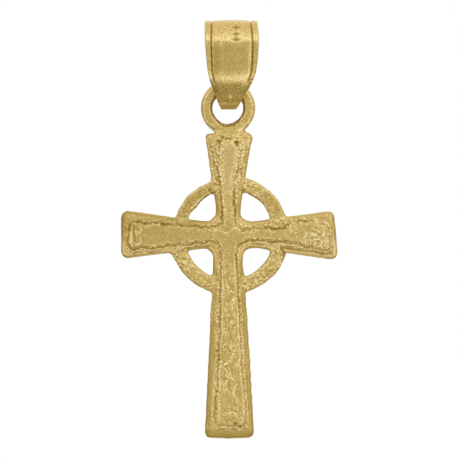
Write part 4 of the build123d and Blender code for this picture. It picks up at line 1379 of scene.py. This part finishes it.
bail_gold, tree, metal = new_gold("bail_gold")
metal.inputs["Roughness"].default_value = 0.26
# The creased colour paints shade, and the pale colour paints highlight and wear
dress_gold(
    tree, metal,
    {"Clean": (0.80, 0.566, 0.170, 1), "Creased": (0.46, 0.305, 0.064, 1), "Bright colour": (1.0, 0.77, 0.33, 1),
     "Patch size": 0.9 * MM, "Patch strength": 0.2, "Speck size": 0.08 * MM, "Speck strength": 4.0,
     "Speck stretch": (0.8, 1.0, 0.8)},
    {"Stretch": (1.0, 1.0, 0.35), "Size": 0.16 * MM, "Grain size": 0.10 * MM, "Grain share": 0.45},
    {"Strength": 0.6, "Distance": 0.045 * MM})

strap_values = {
    "Section": section_object, "Fold points": len(outer_fold), "Section points": len(section),
    "Groove width": 0.17 * MM, "Groove depth": 0.11 * MM, "Edge rounding": 0.10 * MM,
    "Face waves": 0.065 * MM, "Wave stretch": (1.6 / MM, 0.35 / MM, 0.35 / MM),
    "Mark place": (0.51 * MM, 0, -0.50 * MM), "Mark half width": 0.42 * MM, "Mark half height": 0.20 * MM,
    "Mark pitch": 0.46 * MM, "Mark count": 3, "Mark depth": 0.045 * MM,
    "Drop place": (0.07 * MM, -0.75 * MM, -5.27 * MM), "Drop size": (0.13 * MM, 1.0 * MM, 0.24 * MM),
    "Drop height": 0.07 * MM, "Crown swell": 0.05 * MM, "Left rim wear": 0.4, "Rim wear size": 0.16 * MM,
    "Rim wear depth": 0.03 * MM, "Side highlight": 0.32, "Side fall": 0.045 * MM, "Streak place": 0.22,
    "Streak height": 0.020 * MM, "Seam top": -5.49 * MM, "Seam size": (0.44 * MM, 1.0 * MM, 0.30 * MM),
    "Metal": bail_gold}
bail_finished = finished_mesh(folded_strap, fold_mesh, strap_values, "bail_strap")
bail = bpy.data.objects.new("bail_strap", bail_finished)
bpy.data.objects.remove(section_object)
bpy.context.scene.collection.objects.link(bail)
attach(bail, "bail")
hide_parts("bail")

# Studio: a pendant hung in a light tent, bright above, less bright below and dim at the lens. The camera
# sees white paper behind it, and a round pale floor lies far below.
# Light by height: elevation in degrees and level
tent_levels = [(-90, 0.50), (-62, 0.42), (-38, 0.38), (-20, 1.12), (0, 1.00), (14, 1.12), (28, 1.15),
               (46, 0.92), (66, 0.90), (90, 0.80)]
lens_half_wide = radians(21)              # the dark zone round the lens
lens_half_high = radians(13)
lens_zone = (0.3, 1.4)                    # from its darkest place to its end, in half sizes
lens_level = 0.41
aside_zone = (0.50, 0.95)                 # the light falls off towards the pendant's far left and right
aside_level = 0.58
left_level = 0.92
right_level = 1.08
dim_tint = (1.0, 0.92, 0.66, 1)           # dim light is warmer and bright light is cooler
bright_tint = (1.0, 1.05, 1.28, 1)
tint_levels = (0.3, 1.1)
floor_z = -90.0
floor_radius = 42.0

world = bpy.data.worlds.new("light_tent")
bpy.context.scene.world = world
world.use_nodes = True
tree = world.node_tree
tree.nodes.clear()
sideways, _, upward = flow_from(tree, "ShaderNodeTexCoord", output="Generated").parts()
ramp = add_node(tree, "ShaderNodeValToRGB", {0: ranged(upward.math("ARCSINE"), -pi / 2, pi / 2)})
ramp.color_ramp.interpolation = "EASE"
while len(ramp.color_ramp.elements) < len(tent_levels):
    ramp.color_ramp.elements.new(0.5)
for element, (degrees, level) in zip(ramp.color_ramp.elements, tent_levels):
    element.position = (degrees + 90) / 180
    element.color = (level, level, level, 1)
from_lens = (abs(sideways / sin(lens_half_wide)).math("POWER", 2.0)
             + abs(upward / sin(lens_half_high)).math("POWER", 2.0)).math("SQRT")
level = (Flow(tree, ramp.outputs[0]) * ranged(from_lens, *lens_zone, lens_level, 1.0, "SMOOTHSTEP")
         * ranged(abs(sideways), *aside_zone, 1.0, aside_level, "SMOOTHSTEP")
         * ranged(sideways, -1.0, 1.0, left_level, right_level))
tint = mixed_colour(ranged(level, *tint_levels), dim_tint, bright_tint)
tent = flow_from(tree, "ShaderNodeBackground", {"Color": tint, "Strength": level})
paper = flow_from(tree, "ShaderNodeBackground", {"Color": (1, 1, 1, 1), "Strength": 1.0})
seen = flow_from(tree, "ShaderNodeLightPath", output="Is Camera Ray")
add_node(tree, "ShaderNodeOutputWorld", {
    "Surface": flow_from(tree, "ShaderNodeMixShader", {0: seen, 1: tent, 2: paper})})

floor_mesh = bpy.data.meshes.new("floor")
disc = bmesh.new()
bmesh.ops.create_circle(disc, cap_ends=True, segments=96, radius=floor_radius * MM)
bmesh.ops.translate(disc, verts=disc.verts, vec=(0, 0, floor_z * MM))
disc.to_mesh(floor_mesh)
disc.free()
floor = bpy.data.objects.new("floor", floor_mesh)
bpy.context.scene.collection.objects.link(floor)
pale_floor = bpy.data.materials.new("pale_floor")
pale_floor.use_nodes = True
surface = pale_floor.node_tree.nodes["Principled BSDF"]
surface.inputs["Base Color"].default_value = (0.86, 0.86, 0.85, 1)
surface.inputs["Roughness"].default_value = 0.9
floor_mesh.materials.append(pale_floor)
